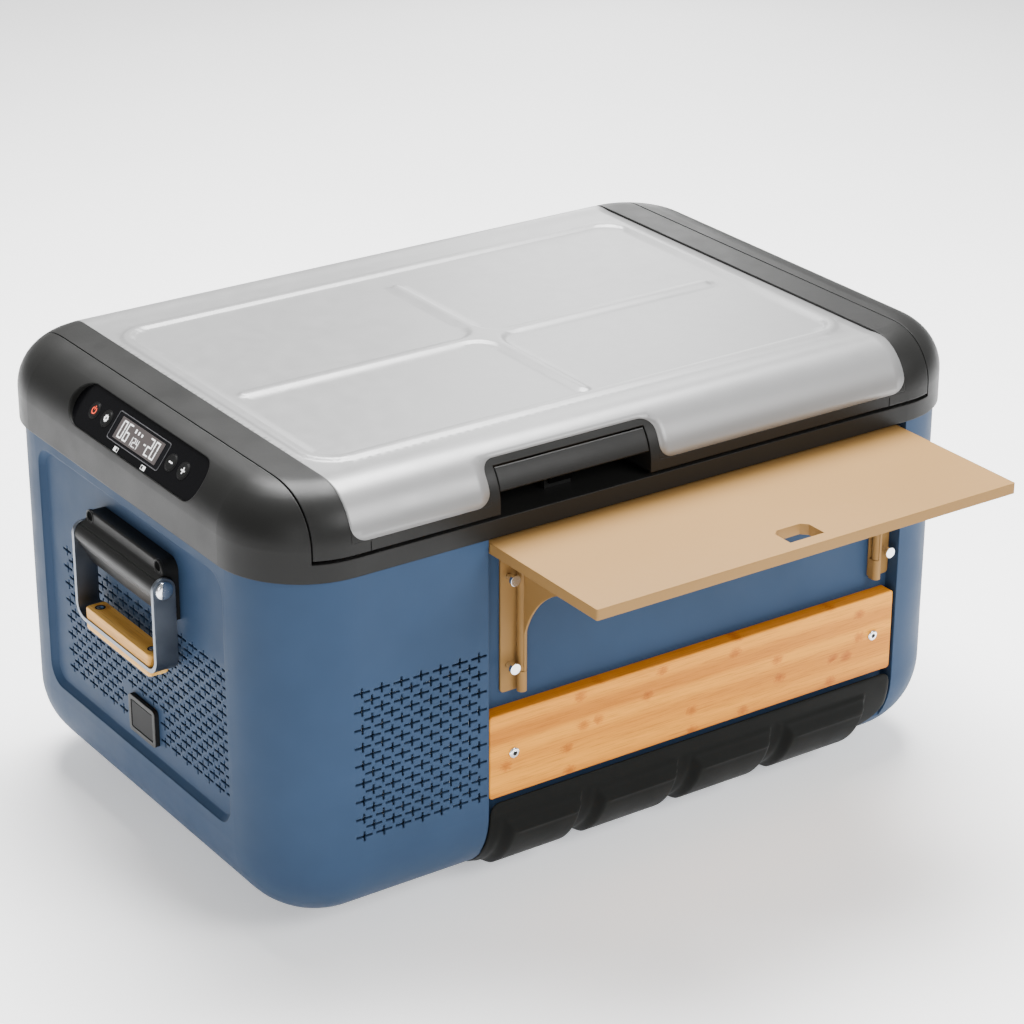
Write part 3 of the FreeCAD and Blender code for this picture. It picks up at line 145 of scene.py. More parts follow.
def painted_metal(name, colour, rough=0.35, metallic=0.0, edge=0.001, grain=1500, strength=0.05, specular=0.5):
    """Powder-coated sheet: a faint orange peel over an even colour."""
    s = Shader(name)
    cloud = s.noise(5, 2)
    base = s.ramp(cloud, "Fac", [(0.3, tuple(c * 0.95 for c in colour)), (0.7, colour)])
    s.link(base, "Color", s.surface, "Base Color")
    wear = s.noise(60, 6)
    shine = s.ramp(wear, "Fac", [(0.35, (rough,) * 3), (0.8, (rough + 0.08,) * 3)])
    s.link(shine, "Color", s.surface, "Roughness")
    s.set(s.surface, Metallic=metallic, Specular_IOR_Level=specular)
    s.bump(s.noise(grain, 2), "Fac", strength, 0.0002, edge)
    return s.material


def metal(name, colour, rough=0.22, stretch=(1, 1, 1), grain=900, strength=0.05, edge=0.0006):
    """Bare metal, brushed along the axis that is stretched least."""
    s = Shader(name)
    lines = s.noise(grain, 3, stretch)
    base = s.ramp(lines, "Fac", [(0.3, tuple(c * 0.86 for c in colour)), (0.7, colour)])
    s.link(base, "Color", s.surface, "Base Color")
    shine = s.ramp(lines, "Fac", [(0.3, (rough,) * 3), (0.7, (rough + 0.1,) * 3)])
    s.link(shine, "Color", s.surface, "Roughness")
    s.set(s.surface, Metallic=1.0)
    s.bump(lines, "Fac", strength, 0.0001, edge)
    return s.material


def bamboo(name, along, tones=(WOOD_DEEP, WOOD_MIDDLE, WOOD_LIGHT)):
    """Pressed bamboo: thin laid strips, fine fibres, and darker knuckles where the canes' joints were."""
    s = Shader(name)

    def stretched(length, width):
        """A scale that is slow along the board and quick across it."""
        return {"x": (length, width, width), "y": (width, length, width)}[along]

    strips = s.noise(1.0, 1, stretched(0.6, 62), 0.2)
    laid = s.ramp(strips, "Fac", list(zip((0.36, 0.5, 0.64), tones)))
    fibre = s.noise(3.2, 5, stretched(9, 300), 0.75)
    grain = s.ramp(fibre, "Fac", [(0.3, (0.66, 0.56, 0.42)), (0.5, (0.97, 0.95, 0.92)), (0.75, (1.08, 1.06, 1.0))])
    fine = s.mix("MULTIPLY", 1.0, (laid, "Color"), (grain, "Color"))

    joints = {"x": (10.5, 0.0, 54.0), "y": (54.0, 10.5, 0.0)}[along]
    sizes = {"x": (5.6, 0.0, 1.5), "y": (1.5, 5.6, 0.0)}[along]
    spots = s.place(joints)
    knuckle = s.add("TexVoronoi")
    s.set(knuckle, Scale=1.0, Randomness=0.62)
    s.link(spots, "Vector", knuckle, "Vector")
    offset = s.add("VectorMath", operation="SUBTRACT")
    s.link(spots, "Vector", offset, 0)
    s.link(knuckle, "Position", offset, 1)
    sized = s.add("VectorMath", operation="MULTIPLY")
    s.link(offset, "Vector", sized, 0)
    sized.inputs[1].default_value = sizes
    reach = s.add("VectorMath", operation="LENGTH")
    s.link(sized, "Vector", reach, 0)
    rough_edge = s.noise(420, 4, stretched(1, 2.2))
    reached = s.add("Math", operation="MULTIPLY_ADD")
    s.link(rough_edge, "Fac", reached, 0)
    reached.inputs[1].default_value = 0.7
    s.link(reach, "Value", reached, 2)
    mark = s.ramp(reached, "Value", [(0.34, (0.55, 0.38, 0.24)), (0.56, (0.74, 0.58, 0.42)), (0.78, (1, 1, 1))])
    marked = s.mix("MULTIPLY", 0.85, (fine, 2), (mark, "Color"))
    s.link(marked, 2, s.surface, "Base Color")
    s.set(s.surface, Roughness=0.48, Specular_IOR_Level=0.2)
    s.bump(fibre, "Fac", 0.12, 0.0002, 0.0008)
    return s.material


def rubber(name, colour=(0.018, 0.018, 0.018)):
    """Matt rubber with a little dust."""
    s = Shader(name)
    dust = s.noise(40, 6)
    base = s.ramp(dust, "Fac", [(0.4, colour), (0.85, tuple(c * 1.9 for c in colour))])
    s.link(base, "Color", s.surface, "Base Color")
    s.set(s.surface, Roughness=0.78)
    s.bump(s.noise(1800, 3), "Fac", 0.25, 0.0002, 0.0006)
    return s.material


def gloss(name, colour, rough=0.08, specular=0.5):
    """A smooth surface with faint smears."""
    s = Shader(name)
    smear = s.noise(30, 5)
    shine = s.ramp(smear, "Fac", [(0.4, (rough,) * 3), (0.9, (rough + 0.07,) * 3)])
    s.link(shine, "Color", s.surface, "Roughness")
    base = s.ramp(s.noise(12, 2), "Fac", [(0.3, colour), (0.8, tuple(c * 1.25 for c in colour))])
    s.link(base, "Color", s.surface, "Base Color")
    s.set(s.surface, Specular_IOR_Level=specular)
    s.bump(s.noise(700, 2), "Fac", 0.01, 0.0001, 0.0005)
    return s.material


def foam_plastic(name, colour):
    """Foam with small cells."""
    s = Shader(name)
    cells = s.add("TexVoronoi")
    s.set(cells, Scale=420.0)
    s.link(s.place(), "Vector", cells, "Vector")
    base = s.ramp(cells, "Distance", [(0.1, tuple(c * 0.8 for c in colour)), (0.6, colour)])
    s.link(base, "Color", s.surface, "Base Color")
    s.set(s.surface, Roughness=0.9)
    s.bump(cells, "Distance", 0.4, 0.0004)
    return s.material


MATERIALS = {
    "blue_plastic": moulded("blue_plastic", (0.026, 0.051, 0.100), 0.52, strength=0.08, edge=0.0016, specular=0.11),
    "dark_plastic": moulded("dark_plastic", (0.0105, 0.0105, 0.010), 0.40, strength=0.12, edge=0.0012, specular=0.17),
    "black_rubber": rubber("black_rubber"),
    "grey_liner": moulded("grey_liner", (0.62, 0.63, 0.64), 0.35, strength=0.05),
    "foam": foam_plastic("foam", (0.78, 0.7, 0.48)),
    "copper": metal("copper", (0.85, 0.42, 0.25), 0.3),
    "sheet_steel": metal("sheet_steel", (0.62, 0.64, 0.66), 0.3, (1, 8, 1)),
    "black_paint": painted_metal("black_paint", (0.02, 0.02, 0.022), 0.3),
    "aluminium": metal("aluminium", (0.82, 0.83, 0.84), 0.35),
    "black_plastic": moulded("black_plastic", (0.02, 0.02, 0.022), 0.5),
    "circuit_board": gloss("circuit_board", (0.01, 0.12, 0.04), 0.3),
    "panel_gloss": gloss("panel_gloss", (0.003, 0.003, 0.0035), 0.15, 0.08),
    "window": gloss("window", (0.002, 0.002, 0.003), 0.06, 0.2),
    "bamboo": bamboo("bamboo_along_x", "x"),
    "chrome": metal("chrome", (0.9, 0.91, 0.93), 0.06, strength=0.01),
    "steel_bar": metal("steel_bar", (0.17, 0.19, 0.22), 0.32, grain=45, strength=0.0),
    "silver_panel": painted_metal("silver_panel", (0.22, 0.22, 0.22), 0.34, 0.3, grain=2200, strength=0.035),
    "beige_metal": painted_metal("beige_metal", (0.265, 0.148, 0.048), 0.5, specular=0.15),
    "brass_contact": metal("brass_contact", (0.8, 0.6, 0.28), 0.2),
}
# The grips' bamboo, in lighter tones than the rail's: painted light, so that the grips' shaded tops look lit.
GRIP_WOOD_PAINTED_LIGHT = bamboo("bamboo_along_y_painted_light", "y", ((0.72, 0.36, 0.07), (0.86, 0.47, 0.11), (0.97, 0.58, 0.16)))


def dress_frame():
    """Gives every carried-over node the material of its slot."""
    slots = {part["node"]: part["material_slot"] for part in frame["record"]["subparts"]}
    for node, item in frame["nodes"].items():
        # The grips take the lighter bamboo, which is painted light.
        material = GRIP_WOOD_PAINTED_LIGHT if node in ("left_grip", "right_grip") else MATERIALS[slots[node]]
        item.data.materials.clear()
        item.data.materials.append(material)


dress_frame()


# ---------------------------------------------------------------- mesh helpers

def smoothstep(low, high, value):
    t = min(max((value - low) / (high - low), 0.0), 1.0)
    return t * t * (3 - 2 * t)


def add_piece(name, verts, faces, material, body, replaces=(), smooth=True):
    """Links a mesh given in millimetres, and says what it rides on and replaces."""
    mesh = bpy.data.meshes.new(name)
    mesh.from_pydata([Vector(v) * MM for v in verts], [], faces)
    cleaner = bmesh.new()
    cleaner.from_mesh(mesh)
    bmesh.ops.remove_doubles(cleaner, verts=cleaner.verts, dist=1e-7)
    bmesh.ops.recalc_face_normals(cleaner, faces=cleaner.faces)
    cleaner.to_mesh(mesh)
    cleaner.free()
    mesh.polygons.foreach_set("use_smooth", [smooth] * len(mesh.polygons))
    item = bpy.data.objects.new(name, mesh)
    bpy.context.scene.collection.objects.link(item)
    for one in material if isinstance(material, (list, tuple)) else [material]:
        mesh.materials.append(one)
    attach(item, body)
    for node in replaces:
        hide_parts(node)
    return item


def rounded_path(corners, steps=6):
    """A closed outline whose corners, given as (x, y, radius), are rounded."""
    path = []
    for n, (x, y, radius) in enumerate(corners):
        here = Vector((x, y))
        before = (Vector(corners[n - 1][:2]) - here).normalized()
        after = (Vector(corners[(n + 1) % len(corners)][:2]) - here).normalized()
        half = before.angle(after) / 2
        centre = here + (before + after).normalized() * radius / math.sin(half)
        first = here + before * radius / math.tan(half) - centre
        last = here + after * radius / math.tan(half) - centre
        start = math.atan2(first.y, first.x)
        turn = (math.atan2(last.y, last.x) - start + math.pi) % (2 * math.pi) - math.pi
        path += [(centre.x + radius * math.cos(start + turn * k / steps),
                  centre.y + radius * math.sin(start + turn * k / steps)) for k in range(steps + 1)]
    return path


def rectangle(left, right, low, high, radius=0.3, steps=4):
    """A rectangle with rounded corners."""
    corners = [(left, low, radius), (right, low, radius), (right, high, radius), (left, high, radius)]
    return rounded_path(corners, steps)


def arc(cx, cy, radius, start, end, steps=24):
    """Points on an arc from one angle to another, in degrees."""
    return [(cx + radius * math.cos(math.radians(start + (end - start) * k / steps)),
             cy + radius * math.sin(math.radians(start + (end - start) * k / steps))) for k in range(steps + 1)]


def circle(cx, cy, radius, count):
    """An outline of points spread evenly round a centre."""
    turns = [2 * math.pi * k / count for k in range(count)]
    return [(cx + radius * math.cos(turn), cy + radius * math.sin(turn)) for turn in turns]


class Shape:
    """Collects extruded outlines, rings and turned forms into one mesh."""

    def __init__(self):
        self.verts, self.faces, self.slots = [], [], []

    def loft(self, loops, slot=0, capped=True, closed=False):
        """Skins a list of loops of equal length, with caps on both ends."""
        base, count = len(self.verts), len(loops[0])
        for loop in loops:
            self.verts += loop
        rows = len(loops) if closed else len(loops) - 1
        for row in range(rows):
            a, b = base + row * count, base + (row + 1) % len(loops) * count
            self.faces += [(a + k, a + (k + 1) % count, b + (k + 1) % count, b + k) for k in range(count)]
        if capped and not closed:
            self.faces += [tuple(range(base, base + count)),
                           tuple(range(base + (len(loops) - 1) * count, base + len(loops) * count))]
        self.slots += [slot] * (len(self.faces) - len(self.slots))

    def extrude(self, outline, place, low, high, edge=0.0, slot=0):
        """An outline raised from one depth to another, with its top edge eased."""
        levels = [(low, 0.0), (high - edge, 0.0), (high, edge)] if edge else [(low, 0.0), (high, 0.0)]
        middle_u, middle_v = (sum(p[axis] for p in outline) / len(outline) for axis in (0, 1))
        reach = max(math.dist(p, (middle_u, middle_v)) for p in outline)
        loops = []
        for depth, inset in levels:
            shrink = 1 - inset / reach
            loops.append([place(middle_u + (u - middle_u) * shrink, middle_v + (v - middle_v) * shrink, depth)
                          for u, v in outline])
        self.loft(loops, slot)

    def ring(self, outer, inner, place, low, high, slot=0):
        """A frame between two outlines of equal length."""
        self.loft([[place(u, v, low) for u, v in outer], [place(u, v, high) for u, v in outer],
                   [place(u, v, high) for u, v in inner], [place(u, v, low) for u, v in inner]], slot, closed=True)

    def turned(self, profile, place, slot=0, count=40):
        """A round form about the depth axis from (radius, depth) steps."""
        self.loft([[place(u, v, depth) for u, v in circle(0, 0, radius, count)] for radius, depth in profile], slot)

    def piece(self, name, material, body, slot, replaces=(), smooth=False):
        item = add_piece(name, self.verts, self.faces, material, body, replaces, smooth)
        if isinstance(material, (list, tuple)):
            item.data.polygons.foreach_set("material_index", self.slots)
        return item


def plane(origin, right, up, out):
    """A function from (u, v, depth) to a point, for a placed plane."""
    origin, right, up, out = (Vector(v) for v in (origin, right, up, out))
    return lambda u, v, depth: origin + right * u + up * v + out * depth


def glow(name, colour, strength):
    """A print or a screen that gives off a little light: on a screen it is the screen's own light, and on a printed
    sign it is a painted glow that stands in for light falling on it.
    """
    s = Shader(name)
    cells = s.noise(900, 1)
    tint = s.ramp(cells, "Fac", [(0.3, tuple(c * 0.94 for c in colour)), (0.7, colour)])
    s.link(tint, "Color", s.surface, "Base Color")
    s.surface.inputs["Emission Color"].default_value = (*colour, 1)
    s.surface.inputs["Emission Strength"].default_value = strength
    s.set(s.surface, Roughness=0.4)
    return s.material


# Glowing inks: on the display's numbers the glow is the display's own light; on the printed key signs it is painted
# brightness.
WHITE_PRINT_GLOW = glow("white_print_glow", (0.85, 0.85, 0.85), 0.35)
RED_PRINT_PAINTED_GLOW = glow("red_print_painted_glow", (0.8, 0.075, 0.03), 0.35)
SCREEN_LIT = glow("screen_lit", (0.05, 0.042, 0.041), 0.5)
SATIN_BLACK = moulded("satin_black", (0.010, 0.010, 0.010), 0.36, strength=0.05, edge=0.0006, specular=0.1)
BUMPER_PLASTIC = moulded("bumper_plastic", (0.0065, 0.007, 0.0065), 0.5, strength=0.1, specular=0.06)
# A matt near-black for painted shade: in seams, at the bottom of screw holes and in the pockets under the latch levers.
PAINTED_SHADE_BLACK = moulded("painted_shade_black", (0.002, 0.002, 0.002), 0.8, specular=0.02)
COVER_BLACK = gloss("cover_black", (0.003, 0.003, 0.0033), 0.28, 0.04)
OUTLINE_GREY = moulded("outline_grey", (0.07, 0.07, 0.075), 0.5)


# ---------------------------------------------------------------- pressed lid top

LID_HALF, LID_TOP, SHOULDER = 231.0, 388.0, 42.0
FLAT_HALF = LID_HALF - SHOULDER
METAL_LEFT, METAL_RIGHT, METAL_EDGE = -269.4, 262.0, 348.0
LID_LOW, CAP_SEAMS = 338.5, (-253.0, 245.5)
HOOD_LEFT, HOOD_RIGHT, HOOD_TOP = -147.0, 12.0, 379.0
BEAD_TALL, BEAD_HALF, BEAD_EASE = 2.0, 3.4, 1.9
LUG_AT, LUG_HALF, LUG_ROOF = 210.0, 8.0, 358.0
BEAD_FRAME = (-257.0, 248.0, -168.0, 157.0, 26.0)
CROSS_AT, CROSS_X, CROSS_Y = (-8.0, -18.0), (-236.0, 217.0), (-156.0, 119.0)


def lid_point(x, t, height):
    """The lid's outside: x along it, t across it from its middle line, and a height above it."""
    side = math.copysign(1.0, t)
    if abs(t) <= FLAT_HALF:
        return x, t, LID_TOP + height
    angle = (abs(t) - FLAT_HALF) / SHOULDER
    reach = SHOULDER + height
    return x, side * (FLAT_HALF + reach * math.sin(angle)), LID_TOP - SHOULDER + reach * math.cos(angle)


def across(z):
    """How far across the lid a height on its shoulder lies."""
    return FLAT_HALF + SHOULDER * math.acos((z - LID_TOP + SHOULDER) / SHOULDER)


def bead_distance(x, y):
    """Distance to the middle of the nearest pressed bead: the frame or the cross with its blended centre."""
    left, right, front, back, corner = BEAD_FRAME
    dx = abs(x - (left + right) / 2) - (right - left) / 2 + corner
    dy = abs(y - (front + back) / 2) - (back - front) / 2 + corner
    frame_line = abs(math.hypot(max(dx, 0), max(dy, 0)) + min(max(dx, dy), 0) - corner)
    along = math.hypot(x - min(max(x, CROSS_X[0]), CROSS_X[1]), y - CROSS_AT[1])
    aside = math.hypot(x - CROSS_AT[0], y - min(max(y, CROSS_Y[0]), CROSS_Y[1]))
    blend = 24.0
    near = max(blend - abs(along - aside), 0) / blend
    return min(frame_line, min(along, aside) - near * near * blend / 4)


def lid_height(x, t):
    """How high the sheet stands at a place: low on the flat, up on the beads, and full on the shoulders."""
    bead = 1 - smoothstep(BEAD_HALF, BEAD_HALF + BEAD_EASE, bead_distance(x, t))
    shoulder = smoothstep(FLAT_HALF - 8, FLAT_HALF + 16, abs(t))
    return BEAD_TALL * (max(bead, shoulder) - 1) + 0.3 * smoothstep(FLAT_HALF + 12, FLAT_HALF + 24, abs(t))


def lug_notch(x, edge):
    """The notch in the rear edge that leaves room for a hinge lug at x."""
    roof = across(LUG_ROOF)
    return [(x + LUG_HALF, edge, 1), (x + LUG_HALF, roof, 2), (x - LUG_HALF, roof, 2), (x - LUG_HALF, edge, 1)]


def lid_panel():
    """The pressed metal top: notched for the latches and the hinge lugs, with a finer mesh along the beads."""
    edge, notch = across(METAL_EDGE), across(HOOD_TOP)
    outer_round, hood_round, sheet_thick = 14, 12, 1.6
    border, fine, coarse, margin = 6, 2.0, 4, 2
    front = [(METAL_LEFT, -edge, outer_round), (HOOD_LEFT, -edge, hood_round), (HOOD_LEFT, -notch, hood_round),
             (HOOD_RIGHT, -notch, hood_round), (HOOD_RIGHT, -edge, hood_round), (METAL_RIGHT, -edge, outer_round)]
    rear = [(x, -t, r) for x, t, r in reversed(front)]
    rear[1:1] = lug_notch(LUG_AT, edge)
    rear[-1:-1] = lug_notch(-LUG_AT, edge)
    outline = rounded_path(front + rear, 8)
    dense = []
    for (x0, y0), (x1, y1) in zip(outline, outline[1:] + outline[:1]):
        parts = max(1, round(math.hypot(x1 - x0, y1 - y0) / border))
        dense += [(x0 + (x1 - x0) * k / parts, y0 + (y1 - y0) * k / parts) for k in range(parts)]
    points = [Vector(p) for p in dense]
    for i in range(int((METAL_RIGHT - METAL_LEFT) / fine)):
        for j in range(-int(edge / fine), int(edge / fine) + 1):
            x, t = METAL_LEFT + (i + 1) * fine, j * fine
            in_hood = HOOD_LEFT - margin < x < HOOD_RIGHT + margin and abs(t) > notch - margin
            by_lug = abs(abs(x) - LUG_AT) < LUG_HALF + margin and t > across(LUG_ROOF) - margin
            if x > METAL_RIGHT - margin or abs(t) > edge - margin or in_hood or by_lug:
                continue
            rows = coarse // 2 if abs(t) > FLAT_HALF - 10 else coarse
            if (i % coarse == 0 and j % rows == 0) or bead_distance(x, t) < BEAD_HALF + BEAD_EASE + margin:
                points.append(Vector((x, t)))
    rim = list(range(len(dense)))
    flat, _, triangles, *_ = mathutils.geometry.delaunay_2d_cdt(points, [], [rim], 1, 1e-5)
    verts = [lid_point(p.x, p.y, lid_height(p.x, p.y)) for p in flat]
    item = add_piece("lid_panel_pressed", verts, triangles, MATERIALS["silver_panel"], "lid",
                     ["lid_top_panel"])
    sheet = item.modifiers.new("sheet", "SOLIDIFY")
    sheet.thickness = sheet_thick * MM
    sheet.offset = -1 if item.data.polygons[0].normal.z > 0 else 1


def lid_fillers():
    """Dark trim where the metal's lower corners are rounded, and the hairlines between the trims, near-black as painted
    shade in the seams.
    """
    trim_wide, trim_thick, trim_rows, lap = 16, 2.2, 6, 1
    hood_wide = trim_wide - 2
    spans = ((METAL_LEFT, METAL_LEFT + trim_wide), (HOOD_LEFT - hood_wide, HOOD_LEFT + lap),
             (HOOD_RIGHT - lap, HOOD_RIGHT + hood_wide), (METAL_RIGHT - trim_wide, METAL_RIGHT))
    shape = Shape()
    edge = across(METAL_EDGE)
    for side in (-1, 1):
        for left, right in spans:
            rows = [side * (edge - trim_wide * k / trim_rows) for k in range(trim_rows + 1)]
            shape.loft([[lid_point(left, t, 0), lid_point(right, t, 0),
                         lid_point(right, t, -trim_thick), lid_point(left, t, -trim_thick)] for t in rows])
    shape.piece("lid_corner_trim", MATERIALS["dark_plastic"], "lid", "dark_plastic", smooth=False)

    half_wide, proud, sunk = 0.35, 0.06, 0.3
    outside, inside = -LID_HALF - proud, -LID_HALF + sunk
    lines = Shape()
    for x in CAP_SEAMS:
        corners = ((x - half_wide, outside), (x + half_wide, outside), (x + half_wide, inside), (x - half_wide, inside))
        lines.loft([[(cx, cy, z) for cx, cy in corners] for z in (LID_LOW + 0.1, METAL_EDGE - 2.0)])
    lines.piece("lid_trim_seams", PAINTED_SHADE_BLACK, "lid", "dark_plastic")


# ---------------------------------------------------------------- control panel

DIAL_TILT, DIAL_SUNK, DIAL_HALF, DIAL_TALL = math.radians(37), 36.5, 105.0, 18.5
SHOULDER_X, DIAL_Y = METAL_LEFT - 29.6, -16.0
DIAL_OUT = (-math.cos(DIAL_TILT), 0, math.sin(DIAL_TILT))
DIAL_FACE = (SHOULDER_X + DIAL_SUNK * DIAL_OUT[0], DIAL_Y, LID_TOP - SHOULDER + DIAL_SUNK * DIAL_OUT[2])
DIAL = plane(DIAL_FACE, FORWARD, (math.sin(DIAL_TILT), 0, math.cos(DIAL_TILT)), DIAL_OUT)
KEY_PROUD = 0.56
SEGMENTS = {"0": "abcdef", "1": "bc", "2": "abged", "4": "fgbc", "6": "afgedc", "-": "g"}


def seven_segments(shape, text, left, low, wide, tall, stroke, gap, depth):
    """Numbers made of bars, as a display lights them."""
    trim = 0.12
    for sign in text:
        if sign == ".":
            dot = left - gap * 0.4
            shape.extrude(rectangle(dot, dot + stroke, low, low + stroke, 0.1), DIAL, 0, depth)
            continue
        right, high, middle = left + wide, low + tall, low + tall / 2
        bars = {"a": (left, right, high - stroke, high), "d": (left, right, low, low + stroke),
                "g": (left, right, middle - stroke / 2, middle + stroke / 2),
                "f": (left, left + stroke, middle, high), "b": (right - stroke, right, middle, high),
                "e": (left, left + stroke, low, middle), "c": (right - stroke, right, low, middle)}
        for bar in SEGMENTS[sign]:
            x0, x1, y0, y1 = bars[bar]
            outline = rectangle(x0 + trim, x1 - trim, y0 + trim, y1 - trim, stroke * 0.3)
            shape.extrude(outline, DIAL, 0, depth)
        left += wide + gap


def display():
    """The lit field, its outline, the numbers and the two compartment marks under it."""
    lit = Shape()
    lit.extrude(rectangle(-36, 32, -9.3, 9.3, 0.6), DIAL, -0.1, 0.12)
    lit.piece("display_field", SCREEN_LIT, "cabinet", "window")

    line = 0.7
    outline = Shape()
    outline.ring(rectangle(-43.2, 39.2, -12.2, 12.2, 2.4),
                 rectangle(-43.2 + line, 39.2 - line, -12.2 + line, 12.2 - line, 1.9), DIAL, -0.2, 0.25)
    outline.piece("display_outline", OUTLINE_GREY, "cabinet", "aluminium")

    depth, low = 0.22, -7.6
    large = {"wide": 6.6, "tall": 15.2, "stroke": 1.5, "gap": 1.8, "depth": depth}
    small = {"wide": 3.6, "tall": 7.6, "stroke": 0.95, "gap": 1.3, "depth": depth}
    dash = {"wide": 3.4, "tall": 10.0, "stroke": 1.5, "gap": 1.8, "depth": depth}
    marks = Shape()
    seven_segments(marks, "06", -31.5, low, **large)
    seven_segments(marks, "12.4", -13.0, low, **small)
    seven_segments(marks, "-", 6.6, low + 2.2, **dash)
    seven_segments(marks, "20", 12.0, low, **large)
    for n, x in enumerate((-11.5, -6.5, -1.5)):
        marks.extrude(rectangle(x, x + 2.0, 3.0, 6.4 - n * 0.5, 0.3), DIAL, 0, depth)
    apart, half, bottom, top, border = 1.6, 1.7, -17.6, -14.0, 0.4
    for x, full in ((-23.0, -1), (21.0, 1)):
        filled, empty = x + apart * full, x - apart * full
        marks.extrude(rectangle(filled - half, filled + half, bottom, top, border), DIAL, -0.1, 0.1)
        marks.ring(rectangle(empty - half, empty + half, bottom, top, border),
                   rectangle(empty - half + border, empty + half - border, bottom + border, top - border, 0.2),
                   DIAL, -0.1, 0.1)
    marks.piece("display_marks", WHITE_PRINT_GLOW, "cabinet", "window")


def gear_outline(u):
    """A gear with eight teeth, and a hole with as many points as the gear has."""
    tip, root, bore, teeth = 3.1, 2.4, 1.1, 8
    corners = ((tip, -9), (tip, 9), (root, 14), (root, 31))
    gear = [(u + r * math.cos(math.radians(45 * n + a)), r * math.sin(math.radians(45 * n + a)))
            for n in range(teeth) for r, a in corners]
    angles = [math.radians(360 * n / len(gear) - 9) for n in range(len(gear))]
    return gear, [(u + bore * math.cos(a), bore * math.sin(a)) for a in angles]


def key_sign(node, u):
    """The printed sign on a button: power ring, gear, minus or plus."""
    low, high = KEY_PROUD - 0.2, KEY_PROUD + 0.08
    sign = Shape()
    if node == "power_button":
        outer, inner = arc(u, 0, 3.3, 125, 415), arc(u, 0, 2.3, 125, 415)
        sign.extrude(outer + inner[::-1], DIAL, low, high)
        sign.extrude(rectangle(u - 0.5, u + 0.5, 0.6, 3.9, 0.2), DIAL, low, high)
        return sign
    if node == "mode_button":
        gear, hole = gear_outline(u)
        sign.ring(gear, hole, DIAL, low, high)
        return sign
    arm, half = 2.7, 0.6
    sign.extrude(rectangle(u - arm, u + arm, -half, half, 0.2), DIAL, low, high)
    if node == "plus_button":
        sign.extrude(rectangle(u - half, u + half, -arm, arm, 0.2), DIAL, low, high)
    return sign


def control_panel():
    """Everything printed or moulded on the control panel's face."""
    display()
    keys = {"power_key": ("power_button", -75.0), "mode_key": ("mode_button", -55.0),
            "minus_key": ("minus_button", 50.0), "plus_key": ("plus_button", 69.0)}
    outer, inner, parts = 7.3, 6.55, 47
    last = 360 - 360 / (parts + 1)
    for body, (node, u) in keys.items():
        # The key signs glow: painted brightness on printed ink.
        ink = RED_PRINT_PAINTED_GLOW if node == "power_button" else WHITE_PRINT_GLOW
        key_sign(node, u).piece(node + "_sign", ink, body, "window")
        frame["nodes"][node].data.materials[0] = SATIN_BLACK
        rim = Shape()
        rim.ring(arc(u, 0, outer, 0, last, parts), arc(u, 0, inner, 0, last, parts), DIAL, -0.1, 0.3)
        rim.piece(node + "_rim", SATIN_BLACK, "cabinet", "panel_gloss")


# ---------------------------------------------------------------- front bumper

BUMPER_LEFT, BUMPER_RIGHT, BUMPER_TOP = -146.6, 264.0, 89.0
SHELL_FRONT, SHELL_ROUND, SHELL_FLOOR = -229.3, 70.0, 12.0
VALLEYS = (-146.6, -57.0, 40.0, 137.0, 239.0)
PAD_PROUD, SKIN_PROUD = 7.6, 1.0


def bumper_point(x, w, height):
    """A place on the bumper: x along it, w down the cabinet's front and round its lower edge."""
    drop = BUMPER_TOP - SHELL_FLOOR - SHELL_ROUND
    if w <= drop:
        return x, SHELL_FRONT - height, BUMPER_TOP - w
    angle = (w - drop) / SHELL_ROUND
    reach = SHELL_ROUND + height
    return x, SHELL_FRONT + SHELL_ROUND - reach * math.cos(angle), SHELL_FLOOR + SHELL_ROUND - reach * math.sin(angle)


def bumper_lobe(x):
    """The pad that a place belongs to, as the distances to its left and right end."""
    for left, right in zip(VALLEYS, VALLEYS[1:]):
        if x < right:
            return x - left, right - x
    return None


def bumper_height(x, w):
    """How far the bumper stands proud: each pad slopes in from its left and its top, with a ridge along it."""
    lobe = bumper_lobe(x)
    if lobe is None:
        return SKIN_PROUD
    left, right = lobe
    upper = 0.35 * smoothstep(13, 16, w) + 0.65 * smoothstep(16, 27, w)
    facet = 0.2 * smoothstep(2, 9, left) + 0.8 * smoothstep(11, 21, left)
    wall = smoothstep(1.5, 6, right)
    pad = min(upper, facet, wall)
    ridge = 0.9 * math.exp(-((w - 27) / 1.6) ** 2) * smoothstep(20, 28, left) * smoothstep(5, 10, right)
    return SKIN_PROUD + (PAD_PROUD - SKIN_PROUD) * pad + ridge


def bumper_depth(x):
    """How far down the bumper reaches: each pad's lower right corner is rounded up."""
    lobe = bumper_lobe(x)
    full = 82.0
    if lobe is None:
        beyond = (x - VALLEYS[-1]) / (BUMPER_RIGHT - VALLEYS[-1])
        return full - 14 - 34 * beyond * beyond
    curl = 1 - min(lobe[1] / 30.0, 1.0)
    return full - 15 * (1 - math.sqrt(max(1 - curl * curl, 0)))


